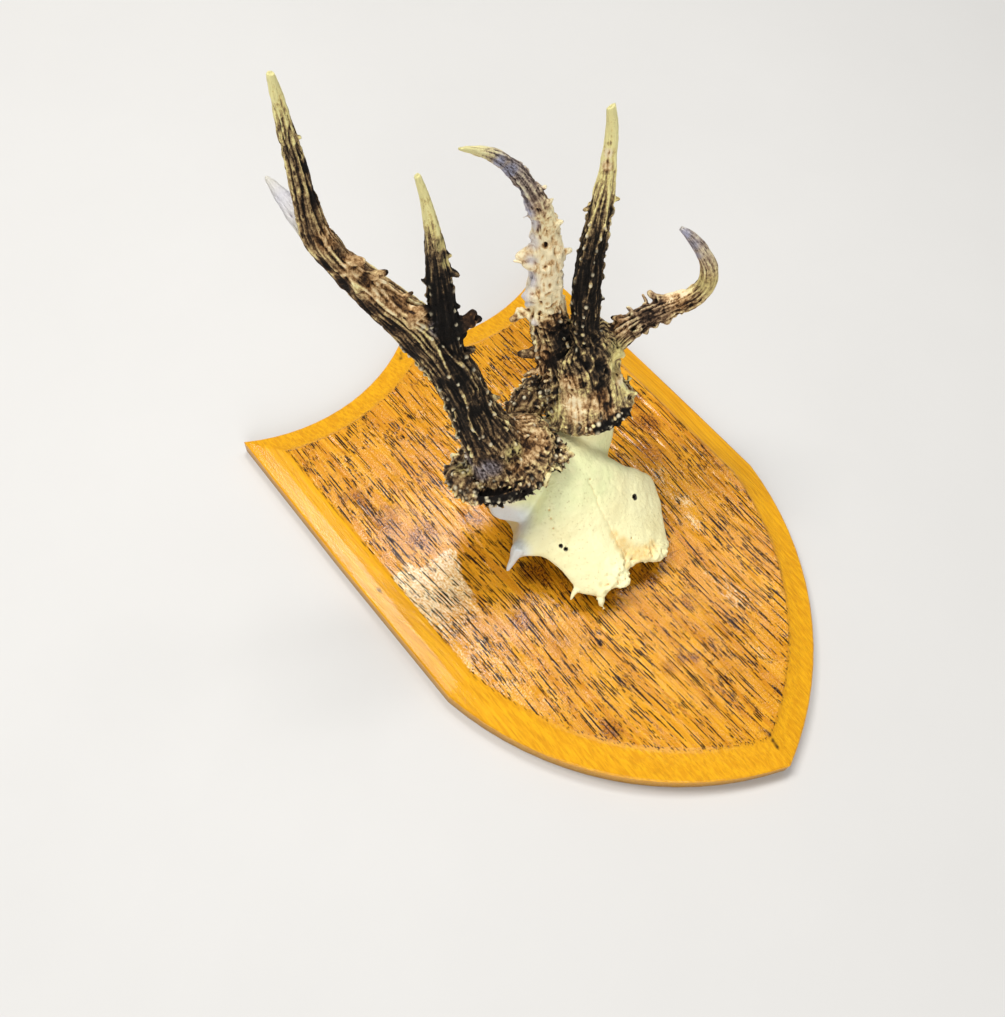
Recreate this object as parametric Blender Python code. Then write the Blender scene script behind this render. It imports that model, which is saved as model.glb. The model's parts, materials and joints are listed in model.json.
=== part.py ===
"""Roe buck skull cap with its antlers on an oak shield, lying flat on the shield's back.

Frame: +Z points out of the shield, +Y runs up the shield towards its square end, +X is the
buck's left. The origin is the middle of the shield's length, on its flat back. The nose end
of the skull points down the shield, towards its pointed tip. All numbers are millimetres
until MM turns them into metres.
"""

import math

import bmesh
import bpy
from mathutils import Matrix, Vector

MM = 0.001
GAP = 0.3

# Oak shield: a square-shouldered outline with a peak, a tip and a raised, bevelled face.
CORNER_X = 100.2
CORNER_Y = 145.0
PEAK_Y = 147.1
SIDE_END_X = 101.1
SIDE_END_Y = -26.0
TIP_Y = -147.4
TOP_ARC_RISE = -14.0
SIDE_ARC_RISE = 0.7
LOWER_ARC_RISE = 20.6
EDGE_HEIGHT = 9.5
FACE_HEIGHT = 14.5
ARRIS = 0.7
# The bevel from the back of the board upward: distance in from the edge, and height.
BEVEL_PROFILE = (
    (0.0, 0.0),
    (0.0, EDGE_HEIGHT - ARRIS),
    (ARRIS, EDGE_HEIGHT),
    (7.0, 11.1),
    (12.0, 13.0),
    (14.3, FACE_HEIGHT),
)
TOP_ARC_STEPS = 14
SIDE_STEPS = 4
LOWER_ARC_STEPS = 16

# Skull cap, as sections from the front edge to the back of the braincase. Each section is the
# right edge, the height of the midline, the left edge, how boxy the arch between them is, and
# how thick the bone is there. The front plate overhangs and the braincase stands on the oak.
SEAT_Z = FACE_HEIGHT + GAP
CAP_SECTIONS = (
    ((-27.0, -27.0, 25.0), (-36.0, 31.0), (26.5, -35.7, 22.0), 1.8, 2.6),
    ((-28.5, -20.0, 31.0), (-28.0, 36.7), (32.0, -29.0, 22.5), 1.8, 3.4),
    ((-30.0, -13.0, 35.0), (-19.0, 42.6), (37.0, -21.0, 24.0), 1.8, 4.0),
    ((-33.0, -7.0, 37.5), (-11.0, 48.8), (41.5, -12.0, 27.0), 1.8, 5.0),
    ((-38.5, -2.0, 38.0), (-4.0, 54.5), (42.5, -5.0, 31.0), 1.8, 7.0),
    ((-40.5, 3.0, 38.0), (2.0, 59.5), (37.0, -1.0, 36.0), 1.9, 15.0),
    ((-36.0, 9.0, 34.0), (8.0, 63.0), (31.5, 3.5, 38.0), 2.3, 30.0),
    ((-30.5, 14.5, 25.0), (13.0, 65.0), (28.5, 9.5, 31.0), 2.8, 60.0),
    ((-26.5, 21.0, 18.0), (21.0, 66.0), (27.5, 18.0, 20.0), 3.2, 60.0),
    ((-27.0, 32.0, 17.0), (32.0, 64.5), (26.5, 31.0, 17.0), 3.2, 60.0),
    ((-27.0, 43.0, 17.0), (43.0, 58.0), (26.5, 43.0, 17.0), 3.0, 60.0),
    ((-22.0, 53.5, 17.0), (54.0, 44.0), (21.5, 53.5, 17.0), 2.8, 60.0),
    ((-13.0, 60.0, 17.0), (60.5, 28.0), (13.0, 60.0, 17.0), 2.4, 60.0),
)
CAP_STEPS_PER_SECTION = 2
CAP_COLUMNS = 26
UNDERSIDE_WIDTH = 0.97
# The broken front edge: how far forward of a smooth edge it stands, from the right edge
# to the left one. Two bony lobes lie to the right of the midline notch.
FRONT_EDGE = (0.0, -3.5, -6.5, -3.0, -6.0, -4.5, 2.5, 1.5, -2.0, -3.5, -4.5, -3.0, 0.0)
FRONT_EDGE_REACH = 3
# Thin bone points left by the saw: foot, tip, foot radius.
BONE_POINTS = (
    ((-37.5, 2.5, 40.5), (-44.7, 1.2, 24.5), 4.2),
    ((-27.0, -26.5, 26.6), (-31.5, -28.5, 23.5), 2.2),
    ((-20.0, -36.5, 25.6), (-21.4, -42.0, 22.4), 2.0),
    ((27.5, -33.5, 22.4), (23.5, -38.5, 17.6), 1.5),
)
# Pedicles, as stations like those of the antlers below.
RIGHT_PEDICLE = (
    (-20.0, 24.0, 40.0, 17.0, 15.0),
    (-24.0, 25.5, 56.0, 14.0, 13.5),
    (-26.5, 28.0, 71.0, 13.5, 12.0),
)
LEFT_PEDICLE = (
    (16.5, 24.0, 40.0, 16.0, 14.0),
    (20.5, 25.5, 56.0, 13.0, 13.0),
    (23.0, 28.0, 71.0, 12.5, 11.5),
)

# Antlers: each branch is a row of stations (x, y, z, half width, half depth).
CORONET_COLUMNS = 24
TINE_COLUMNS = 12
STEPS_PER_STATION = 2
FURROW_COUNT = 6
FURROW_DEPTH = 0.05
PEARL_SWELL = 0.06
PEARLED_STATIONS = 3
# Where each coronet sits on its pedicle, and how far its plane leans down the shield.
RIGHT_SEAT = (-28.0, 27.0, 67.0)
LEFT_SEAT = (24.0, 27.0, 67.0)
CORONET_SLOPE = 0.3
SEAT_CUT_WIDTH = 58.0
SEAT_CUT_HEIGHT = 40.0
RIGHT_CORONET = (
    (-28.0, 27.0, 67.0, 21.0, 16.5),
    (-28.0, 27.6, 68.6, 25.6, 20.2),
    (-28.0, 28.4, 71.6, 26.8, 21.4),
    (-28.6, 29.4, 75.6, 24.5, 19.0),
)
RIGHT_BEAM = (
    (-30.4, 30.6, 81.0, 17.5, 15.0),
    (-34.0, 32.8, 91.0, 12.3, 11.8),
    (-39.0, 39.7, 108.0, 9.9, 9.8),
    (-43.9, 48.6, 131.0, 9.3, 9.2),
    (-52.0, 58.4, 151.0, 8.6, 8.4),
    (-62.8, 68.8, 169.0, 7.0, 6.8),
    (-71.7, 77.7, 184.0, 5.7, 5.7),
    (-76.1, 83.3, 195.0, 5.2, 5.2),
    (-76.9, 87.0, 208.0, 4.2, 4.2),
    (-76.8, 90.0, 221.0, 3.4, 3.4),
    (-77.8, 91.0, 236.0, 2.5, 2.5),
    (-78.8, 91.7, 248.0, 1.8, 1.8),
    (-79.5, 91.8, 256.0, 0.6, 0.6),
)
RIGHT_FORK = 6
RIGHT_FRONT_TINE = (
    (-44.0, 51.5, 142.0, 6.4, 6.4),
    (-44.2, 54.1, 158.0, 5.7, 5.7),
    (-44.0, 56.2, 169.0, 4.8, 4.8),
    (-44.1, 58.3, 183.0, 4.0, 4.0),
    (-44.8, 60.4, 198.0, 2.9, 2.9),
    (-46.4, 62.0, 211.0, 1.9, 1.9),
    (-49.2, 62.6, 223.5, 0.6, 0.6),
)
RIGHT_REAR_TINE = (
    (-75.5, 84.0, 190.5, 4.4, 4.4),
    (-76.0, 91.5, 194.0, 4.0, 4.0),
    (-76.6, 100.0, 197.0, 3.2, 3.2),
    (-77.0, 107.0, 199.2, 1.9, 1.9),
    (-77.3, 111.5, 200.2, 0.6, 0.6),
)
LEFT_CORONET = (
    (24.0, 27.0, 67.0, 16.5, 13.5),
    (24.0, 27.6, 68.6, 20.6, 17.0),
    (24.0, 28.4, 71.6, 21.8, 18.0),
    (24.4, 29.6, 75.6, 20.4, 16.0),
)
LEFT_BASE = (
    (25.5, 31.5, 81.0, 19.5, 13.5),
    (25.5, 34.5, 90.0, 18.5, 12.0),
    (24.0, 38.0, 99.0, 17.5, 11.0),
    (21.5, 42.0, 107.0, 14.0, 9.5),
)
LEFT_FRONT_TINE = (
    (22.5, 35.5, 96.0, 7.2, 7.2),
    (23.4, 40.4, 111.0, 6.2, 6.2),
    (24.2, 44.5, 130.0, 5.8, 5.8),
    (26.9, 48.7, 150.0, 5.1, 5.1),
    (31.2, 52.0, 170.0, 4.3, 4.3),
    (34.0, 55.1, 188.0, 3.1, 3.1),
    (34.2, 57.3, 204.0, 2.3, 2.0),
    (32.3, 57.8, 214.0, 1.5, 0.8),
)
LEFT_MIDDLE_TINE = (
    (14.7, 45.0, 94.0, 9.8, 9.0),
    (13.4, 51.2, 110.0, 8.8, 8.2),
    (12.6, 57.0, 127.0, 7.7, 7.4),
    (14.6, 61.2, 146.0, 6.8, 6.6),
    (15.6, 66.0, 160.0, 5.4, 5.4),
    (12.1, 70.4, 173.0, 4.2, 4.2),
    (6.5, 74.2, 184.0, 3.4, 3.4),
    (-2.1, 77.2, 194.0, 2.7, 2.7),
    (-11.1, 78.6, 201.0, 1.8, 1.8),
    (-19.1, 78.8, 206.0, 0.6, 0.6),
)
LEFT_OUTER_TINE = (
    (33.0, 37.5, 95.0, 7.6, 7.2),
    (43.9, 33.6, 106.0, 6.2, 6.0),
    (52.5, 29.9, 113.0, 4.9, 4.9),
    (61.7, 25.2, 117.0, 4.2, 4.2),
    (70.3, 22.3, 120.0, 3.7, 3.7),
    (74.6, 21.4, 127.0, 3.3, 3.3),
    (73.8, 22.6, 136.0, 3.0, 3.0),
    (69.8, 26.4, 145.0, 2.5, 2.5),
    (65.4, 30.6, 152.0, 1.7, 1.7),
    (60.9, 34.3, 157.0, 0.6, 0.6),
)
# Knobs, as foot, tip and foot radius.
RIGHT_KNOBS = (
    ((-43.0, 53.0, 150.0), (-33.5, 53.0, 156.0), 3.6),
    ((-43.5, 57.0, 172.0), (-38.0, 57.5, 175.0), 1.8),
    ((-44.0, 57.5, 178.0), (-38.8, 58.0, 181.0), 1.5),
    ((-57.0, 64.0, 161.0), (-53.0, 70.5, 168.0), 2.2),
    ((-63.0, 69.5, 170.0), (-58.5, 74.5, 175.0), 2.0),
    ((-68.0, 74.5, 178.0), (-64.0, 79.0, 182.0), 1.8),
    ((-40.0, 41.5, 112.0), (-30.5, 42.5, 117.0), 2.6),
)
LEFT_KNOBS = (
    ((11.0, 43.0, 98.0), (-1.0, 44.0, 99.0), 3.6),
    ((12.0, 52.0, 112.0), (1.5, 53.0, 116.0), 3.8),
    ((12.5, 59.0, 137.0), (2.8, 60.5, 138.0), 4.0),
    ((13.0, 60.0, 143.0), (22.5, 63.5, 142.0), 2.4),
    ((15.0, 64.0, 158.0), (21.8, 67.0, 161.0), 1.9),
    ((30.0, 51.5, 168.0), (36.4, 51.5, 170.5), 1.7),
    ((52.0, 30.5, 114.0), (50.5, 34.5, 122.0), 3.0),
    ((62.0, 25.5, 116.5), (63.5, 21.5, 110.5), 1.7),
    ((48.0, 32.0, 109.0), (50.5, 29.0, 101.5), 2.2),
    ((36.0, 35.5, 92.0), (43.5, 31.5, 88.0), 3.0),
)
KNOB_SIDES = 6
SPIKE_TAPER = 0.3
# Pearled swellings behind the coronets, where they nearly meet: centre and half sizes.
RIGHT_SWELLING = ((-10.0, 48.0, 73.0), (9.0, 9.0, 9.5))
LEFT_SWELLING = ((8.6, 46.0, 73.5), (8.0, 9.0, 9.0))
# Cuts at the forks: centre, normal and side length of the slab of air that is taken out.
RIGHT_CUTS = (
    ((-44.0, 55.0, 163.5), (0.0, 0.15, 1.0), 16.0),
    ((-58.0, 64.0, 161.0), (-0.42, 0.42, 0.8), 24.0),
    ((-76.1, 91.8, 194.2), (0.0, 0.9, 0.4), 13.0),
    ((-76.5, 85.2, 202.5), (-0.1, 0.25, 0.95), 13.0),
)
LEFT_CUTS = (
    ((18.0, 50.0, 129.5), (0.0, 0.2, 1.0), 34.0),
    ((42.0, 34.2, 104.5), (0.72, -0.25, 0.6), 20.0),
)
SMOOTH_ANGLE = math.radians(40.0)


def make_material(name, colour, roughness):
    """A Principled material of one plain colour."""
    material = bpy.data.materials.new(name)
    material.use_nodes = True
    shader = material.node_tree.nodes["Principled BSDF"]
    shader.inputs["Base Color"].default_value = (*colour, 1.0)
    shader.inputs["Roughness"].default_value = roughness
    shader.inputs["Metallic"].default_value = 0.0
    return material


def place_mesh(name, mesh_data, material):
    """Turns a bmesh in millimetres into a named object in metres, with its faces outward."""
    bmesh.ops.recalc_face_normals(mesh_data, faces=mesh_data.faces)
    bmesh.ops.scale(mesh_data, vec=(MM, MM, MM), verts=mesh_data.verts)
    mesh = bpy.data.meshes.new(name)
    mesh_data.to_mesh(mesh)
    mesh_data.free()
    mesh.materials.append(material)
    piece = bpy.data.objects.new(name, mesh)
    bpy.context.scene.collection.objects.link(piece)
    return piece


def combine(piece, tool, operation):
    """Joins the tool to the piece, or cuts it out of the piece, and drops the tool."""
    modifier = piece.modifiers.new(operation.lower(), "BOOLEAN")
    modifier.operation = operation
    modifier.solver = "EXACT"
    modifier.object = tool
    bpy.context.view_layer.objects.active = piece
    bpy.ops.object.modifier_apply(modifier=modifier.name)
    bpy.data.objects.remove(tool)


def smooth_path(points, steps):
    """Catmull-Rom curve through points of any dimension, with so many steps between two."""
    before = [2.0 * a - b for a, b in zip(points[0], points[1])]
    after = [2.0 * a - b for a, b in zip(points[-1], points[-2])]
    rows = [before, *points, after]
    path = []
    for index in range(1, len(rows) - 2):
        p0, p1, p2, p3 = rows[index - 1:index + 3]
        for step in range(steps):
            t = step / steps
            path.append([
                0.5 * (2.0 * b + (c - a) * t + (2.0 * a - 5.0 * b + 4.0 * c - d) * t ** 2
                       + (3.0 * b - a - 3.0 * c + d) * t ** 3)
                for a, b, c, d in zip(p0, p1, p2, p3)
            ])
    path.append(list(points[-1]))
    return path


def bridge(mesh_data, lower, upper):
    """Faces between two closed rings with the same number of vertices."""
    count = len(lower)
    for index in range(count):
        following = (index + 1) % count
        mesh_data.faces.new((lower[index], lower[following], upper[following], upper[index]))


def arc(start, end, rise, steps):
    """Centre, radius, side and step count of an arc that bulges to the right by rise.

    The side is 1 where the arc bulges out of the shield and -1 where it hollows in.
    """
    start = Vector(start)
    end = Vector(end)
    chord = end - start
    radius = (chord.length ** 2 / 4.0 + rise ** 2) / (2.0 * abs(rise))
    side = Vector((chord.y, -chord.x)).normalized() * math.copysign(1.0, rise)
    centre = (start + end) / 2.0 - side * (radius - abs(rise))
    return centre, radius, math.copysign(1.0, rise), steps


def shield_arcs():
    """The arcs of the shield's edge, anticlockwise from the right shoulder over the peak."""
    right = (CORNER_X, CORNER_Y)
    left = (-CORNER_X, CORNER_Y)
    peak = (0.0, PEAK_Y)
    tip = (0.0, TIP_Y)
    return (
        arc(right, peak, TOP_ARC_RISE, TOP_ARC_STEPS),
        arc(peak, left, TOP_ARC_RISE, TOP_ARC_STEPS),
        arc(left, (-SIDE_END_X, SIDE_END_Y), SIDE_ARC_RISE, SIDE_STEPS),
        arc((-SIDE_END_X, SIDE_END_Y), tip, LOWER_ARC_RISE, LOWER_ARC_STEPS),
        arc(tip, (SIDE_END_X, SIDE_END_Y), LOWER_ARC_RISE, LOWER_ARC_STEPS),
        arc((SIDE_END_X, SIDE_END_Y), right, SIDE_ARC_RISE, SIDE_STEPS),
    )


def meeting_point(first, second, inset, near):
    """Where two arcs of the edge meet once both are moved inward, nearest to a point."""
    centre_a, radius_a, sign_a, _ = first
    centre_b, radius_b, sign_b, _ = second
    radius_a = radius_a - sign_a * inset
    radius_b = radius_b - sign_b * inset
    between = centre_b - centre_a
    distance = between.length
    along = (radius_a ** 2 - radius_b ** 2 + distance ** 2) / (2.0 * distance)
    across = math.sqrt(max(radius_a ** 2 - along ** 2, 0.0))
    direction = between / distance
    foot = centre_a + direction * along
    offset = Vector((-direction.y, direction.x)) * across
    return min((foot + offset, foot - offset), key=lambda point: (point - near).length)


def shield_outline(inset):
    """The edge of the shield moved inward by a distance, mitred where its arcs meet."""
    arcs = shield_arcs()
    corners = (
        (CORNER_X, CORNER_Y),
        (0.0, PEAK_Y),
        (-CORNER_X, CORNER_Y),
        (-SIDE_END_X, SIDE_END_Y),
        (0.0, TIP_Y),
        (SIDE_END_X, SIDE_END_Y),
    )
    met = [
        meeting_point(arcs[index - 1], arcs[index], inset, Vector(corner))
        for index, corner in enumerate(corners)
    ]
    outline = []
    for index, (centre, radius, sign, steps) in enumerate(arcs):
        start = met[index] - centre
        end = met[(index + 1) % len(met)] - centre
        sweep = -start.angle_signed(end)
        for step in range(steps):
            outline.append(centre + Matrix.Rotation(sweep * step / steps, 2) @ start)
    return outline


def build_shield(material):
    """The oak shield: one board with a moulded bevel all round its face."""
    mesh_data = bmesh.new()
    rings = []
    for inset, height in BEVEL_PROFILE:
        outline = shield_outline(inset)
        rings.append([mesh_data.verts.new((point.x, point.y, height)) for point in outline])
    for lower, upper in zip(rings, rings[1:]):
        bridge(mesh_data, lower, upper)
    mesh_data.faces.new(rings[0])
    mesh_data.faces.new(rings[-1])
    return place_mesh("shield_board", mesh_data, material)


def ring_frame(tangent, previous_side):
    """Two directions across a path that turn as little as possible from station to station."""
    side = (previous_side - tangent * previous_side.dot(tangent)).normalized()
    return side, tangent.cross(side)


def build_branch(name, stations, columns, pearled, material):
    """A tapering branch lofted through its stations, with lengthwise furrows.

    The first pearled stations are those of a coronet, whose rings lie in its sloping plane
    and carry a rim of pearls.
    """
    path = smooth_path(stations, STEPS_PER_STATION)
    centres = [Vector(row[:3]) for row in path]
    mesh_data = bmesh.new()
    side = Vector((1.0, 0.0, 0.0))
    rings = []
    last = len(path) - 1
    pearled_rings = pearled * STEPS_PER_STATION
    for index, row in enumerate(path):
        if index < pearled_rings:
            tangent = Vector((0.0, CORONET_SLOPE, 1.0)).normalized()
        else:
            tangent = (centres[min(index + 1, last)] - centres[max(index - 1, 0)]).normalized()
        side, depth = ring_frame(tangent, side)
        ring = []
        for column in range(columns):
            angle = 2.0 * math.pi * column / columns
            swell = 1.0 + FURROW_DEPTH * math.cos(FURROW_COUNT * angle)
            if 0 < index < pearled_rings:
                swell = 1.0 + PEARL_SWELL * (-1.0) ** (column + index)
            across = side * (math.cos(angle) * row[3] * swell)
            back = depth * (math.sin(angle) * row[4] * swell)
            ring.append(mesh_data.verts.new(centres[index] + across + back))
        rings.append(ring)
    for lower, upper in zip(rings, rings[1:]):
        bridge(mesh_data, lower, upper)
    mesh_data.faces.new(rings[0])
    mesh_data.faces.new(rings[-1])
    return place_mesh(name, mesh_data, material)


def build_spike(foot, tip, radius, sides, material):
    """A blunt cone from its foot to its tip, for a knob on an antler or a point of bone."""
    foot = Vector(foot)
    tip = Vector(tip)
    axis = tip - foot
    mesh_data = bmesh.new()
    bmesh.ops.create_cone(mesh_data, cap_ends=True, segments=sides, radius1=radius,
                          radius2=radius * SPIKE_TAPER, depth=axis.length)
    turn = axis.to_track_quat("Z", "Y").to_matrix()
    bmesh.ops.rotate(mesh_data, cent=(0.0, 0.0, 0.0), matrix=turn, verts=mesh_data.verts)
    bmesh.ops.translate(mesh_data, vec=(foot + tip) / 2.0, verts=mesh_data.verts)
    return place_mesh("spike", mesh_data, material)


def build_swelling(centre, half_sizes, material):
    """A rounded lump on a coronet."""
    mesh_data = bmesh.new()
    bmesh.ops.create_icosphere(mesh_data, subdivisions=2, radius=1.0)
    bmesh.ops.scale(mesh_data, vec=half_sizes, verts=mesh_data.verts)
    bmesh.ops.translate(mesh_data, vec=centre, verts=mesh_data.verts)
    return place_mesh("swelling", mesh_data, material)


def build_slab(centre, normal, width, thickness, material):
    """A square slab across a normal, which cuts a gap between two parts of an antler."""
    mesh_data = bmesh.new()
    bmesh.ops.create_cube(mesh_data, size=1.0)
    bmesh.ops.scale(mesh_data, vec=(width, width, thickness), verts=mesh_data.verts)
    turn = Vector(normal).to_track_quat("Z", "Y").to_matrix()
    bmesh.ops.rotate(mesh_data, cent=(0.0, 0.0, 0.0), matrix=turn, verts=mesh_data.verts)
    bmesh.ops.translate(mesh_data, vec=centre, verts=mesh_data.verts)
    return place_mesh("slab", mesh_data, material)


def loose_bodies(piece):
    """The separate closed bodies of an object, each as a set of vertex indices."""
    mesh_data = bmesh.new()
    mesh_data.from_mesh(piece.data)
    unseen = set(mesh_data.verts)
    bodies = []
    while unseen:
        queue = [unseen.pop()]
        body = set(queue)
        while queue:
            vertex = queue.pop()
            for edge in vertex.link_edges:
                other = edge.other_vert(vertex)
                if other in unseen:
                    unseen.remove(other)
                    body.add(other)
                    queue.append(other)
        bodies.append({vertex.index for vertex in body})
    mesh_data.free()
    return bodies


def split_antler(whole, cuts, names, material):
    """Cuts an antler at its forks and makes a named node of each part.

    names maps a node's name to a point at its far end, which tells the parts apart.
    """
    for centre, normal, width in cuts:
        combine(whole, build_slab(centre, normal, width, GAP, material), "DIFFERENCE")
    bodies = loose_bodies(whole)
    vertices = whole.data.vertices
    for name, marker in names.items():
        goal = Vector(marker) * MM
        body = min(bodies, key=lambda found: min((vertices[i].co - goal).length for i in found))
        mesh_data = bmesh.new()
        mesh_data.from_mesh(whole.data)
        mesh_data.verts.ensure_lookup_table()
        extra = [vertex for vertex in mesh_data.verts if vertex.index not in body]
        bmesh.ops.delete(mesh_data, geom=extra, context="VERTS")
        bmesh.ops.scale(mesh_data, vec=(1.0 / MM,) * 3, verts=mesh_data.verts)
        place_mesh(name, mesh_data, material)
    bpy.data.objects.remove(whole)


def build_antler(beam, branches, knobs, swelling, material):
    """A whole antler: its beam with the coronet, the branches and the knobs, as one solid."""
    whole = build_branch("antler", beam, CORONET_COLUMNS, PEARLED_STATIONS, material)
    combine(whole, build_swelling(*swelling, material), "UNION")
    for stations in branches:
        combine(whole, build_branch("branch", stations, TINE_COLUMNS, 0, material), "UNION")
    for foot, tip, radius in knobs:
        combine(whole, build_spike(foot, tip, radius, KNOB_SIDES, material), "UNION")
    return whole


def section_height(section, share):
    """Height of the cap's top at a share of the way from its right edge (-1) to its left (1)."""
    edge_z = section[2] if share < 0.0 else section[7]
    return edge_z + (section[4] - edge_z) * (1.0 - abs(share) ** section[8])


def cap_point(section, share):
    """A point on the cap's top surface."""
    edge_x, edge_y = (section[0], section[1]) if share < 0.0 else (section[5], section[6])
    x = edge_x * abs(share)
    y = section[3] + (edge_y - section[3]) * share ** 2
    return Vector((x, y, section_height(section, share)))


def front_edge_step(share):
    """How far the broken front edge stands forward, by the share across the cap."""
    place = (share + 1.0) / 2.0 * (len(FRONT_EDGE) - 1)
    index = min(int(place), len(FRONT_EDGE) - 2)
    return FRONT_EDGE[index] + (FRONT_EDGE[index + 1] - FRONT_EDGE[index]) * (place - index)


def close_edge(mesh_data, top, under):
    """Faces across the thickness of the bone, between its top and underside at one end."""
    for index in range(len(top) - 1):
        corners = [top[index], top[index + 1], under[index + 1], under[index]]
        mesh_data.faces.new(list(dict.fromkeys(corners)))


def build_skull_cap(material):
    """The sawn-off skull cap: frontal bones, orbit rims, pedicles and top of the braincase."""
    flat = [(*right, *middle, *left, boxy, thick) for right, middle, left, boxy, thick in CAP_SECTIONS]
    sections = smooth_path(flat, CAP_STEPS_PER_SECTION)
    mesh_data = bmesh.new()
    rings = []
    ends = []
    for row, section in enumerate(sections):
        top = []
        under = []
        for column in range(CAP_COLUMNS + 1):
            share = 2.0 * column / CAP_COLUMNS - 1.0
            point = cap_point(section, share)
            reach = max(0.0, 1.0 - row / FRONT_EDGE_REACH)
            point.y += front_edge_step(share) * reach
            top.append(mesh_data.verts.new(point))
            if 0 < column < CAP_COLUMNS:
                floor = max(point.z - section[9], SEAT_Z)
                under.append(mesh_data.verts.new((point.x * UNDERSIDE_WIDTH, point.y, floor)))
        rings.append(top + under[::-1])
        ends.append((top, [top[0], *under, top[-1]]))
    for lower, upper in zip(rings, rings[1:]):
        bridge(mesh_data, lower, upper)
    close_edge(mesh_data, *ends[0])
    close_edge(mesh_data, *ends[-1])
    cap = place_mesh("skull_cap", mesh_data, material)
    for stations in (RIGHT_PEDICLE, LEFT_PEDICLE):
        combine(cap, build_branch("pedicle", stations, CORONET_COLUMNS, 0, material), "UNION")
    for foot, tip, radius in BONE_POINTS:
        combine(cap, build_spike(foot, tip, radius, KNOB_SIDES, material), "UNION")
    normal = Vector((0.0, CORONET_SLOPE, 1.0)).normalized()
    for seat in (RIGHT_SEAT, LEFT_SEAT):
        centre = Vector(seat) + normal * (SEAT_CUT_HEIGHT / 2.0 - GAP)
        above = build_slab(centre, normal, SEAT_CUT_WIDTH, SEAT_CUT_HEIGHT, material)
        combine(cap, above, "DIFFERENCE")
    return cap


def clear_scene():
    """Removes the objects of the start-up scene."""
    for leftover in list(bpy.data.objects):
        bpy.data.objects.remove(leftover)


def main():
    """Builds every node."""
    clear_scene()
    oak = make_material("varnished_oak", (0.72, 0.32, 0.07), 0.4)
    bone = make_material("bleached_bone", (0.84, 0.80, 0.58), 0.6)
    horn = make_material("antler_brown", (0.16, 0.10, 0.06), 0.6)
    build_shield(oak)
    build_skull_cap(bone)
    right = build_antler(
        RIGHT_CORONET + RIGHT_BEAM,
        (RIGHT_FRONT_TINE, RIGHT_REAR_TINE),
        RIGHT_KNOBS,
        RIGHT_SWELLING,
        horn,
    )
    split_antler(right, RIGHT_CUTS, {
        "right_antler_base": RIGHT_SEAT,
        "right_front_tine": RIGHT_FRONT_TINE[-1][:3],
        "right_upper_beam": RIGHT_BEAM[RIGHT_FORK][:3],
        "right_rear_tine": RIGHT_REAR_TINE[-1][:3],
        "right_top_tine": RIGHT_BEAM[-1][:3],
    }, horn)
    left = build_antler(
        LEFT_CORONET + LEFT_BASE,
        (LEFT_FRONT_TINE, LEFT_MIDDLE_TINE, LEFT_OUTER_TINE),
        LEFT_KNOBS,
        LEFT_SWELLING,
        horn,
    )
    split_antler(left, LEFT_CUTS, {
        "left_antler_base": LEFT_SEAT,
        "left_front_tine": LEFT_FRONT_TINE[-1][:3],
        "left_middle_tine": LEFT_MIDDLE_TINE[-1][:3],
        "left_outer_tine": LEFT_OUTER_TINE[-1][:3],
    }, horn)
    for piece in bpy.context.scene.objects:
        piece.data.shade_smooth()
        piece.data.set_sharp_from_angle(angle=SMOOTH_ANGLE)


main()
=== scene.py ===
"""Looks of a roe buck's skull cap and antlers, which rest on a varnished oak shield.

Everything stands in metres in the frame of the solids: the origin is the middle of the
shield's back, +Y runs up the shield, +X is the buck's left and +Z comes out of its face.
Tables of stations, knobs and marks are in millimetres, as they would be measured: one row
of numbers for each, its positions first and then its radii or depth.
"""
import json
import logging
import math
from collections.abc import Iterator
from contextlib import contextmanager
from dataclasses import dataclass, field
from enum import Enum

import bmesh
import bpy
import numpy as np
from mathutils import Matrix, Quaternion, Vector
from mathutils.kdtree import KDTree

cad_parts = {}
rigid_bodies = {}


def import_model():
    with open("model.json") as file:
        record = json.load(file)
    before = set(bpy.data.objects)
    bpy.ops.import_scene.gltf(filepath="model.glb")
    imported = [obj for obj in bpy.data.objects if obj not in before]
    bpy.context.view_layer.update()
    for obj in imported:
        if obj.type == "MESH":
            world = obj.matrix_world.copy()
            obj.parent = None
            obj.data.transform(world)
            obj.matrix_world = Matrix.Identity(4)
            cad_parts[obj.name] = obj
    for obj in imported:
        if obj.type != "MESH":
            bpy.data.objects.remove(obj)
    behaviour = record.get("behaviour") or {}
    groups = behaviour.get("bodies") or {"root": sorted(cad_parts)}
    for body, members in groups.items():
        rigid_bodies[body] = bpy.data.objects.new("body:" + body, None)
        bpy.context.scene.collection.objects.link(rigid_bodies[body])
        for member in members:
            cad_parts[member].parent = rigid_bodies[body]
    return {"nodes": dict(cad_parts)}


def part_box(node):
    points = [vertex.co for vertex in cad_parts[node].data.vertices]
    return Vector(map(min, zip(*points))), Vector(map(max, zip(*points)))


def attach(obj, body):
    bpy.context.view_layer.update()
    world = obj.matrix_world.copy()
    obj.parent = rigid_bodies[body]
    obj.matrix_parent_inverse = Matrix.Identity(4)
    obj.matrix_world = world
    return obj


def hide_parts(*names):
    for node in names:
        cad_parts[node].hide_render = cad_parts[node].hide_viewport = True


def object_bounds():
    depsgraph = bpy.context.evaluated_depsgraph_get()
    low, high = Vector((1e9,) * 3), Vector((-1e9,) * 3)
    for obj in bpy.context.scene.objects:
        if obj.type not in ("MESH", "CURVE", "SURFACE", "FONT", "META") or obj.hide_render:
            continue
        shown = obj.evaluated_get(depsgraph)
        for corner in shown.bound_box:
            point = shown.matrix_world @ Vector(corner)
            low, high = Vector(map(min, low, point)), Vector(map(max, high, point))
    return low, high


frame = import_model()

MM = 0.001
BODY = "root"
CAD_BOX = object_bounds()
FULL_TURN = 2.0 * math.pi
SPOT_CORE = 0.35
HASH_FACTORS = (73856093, 19349663, 83492791, 2654435761)
HASH_MIX = 1274126177
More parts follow.
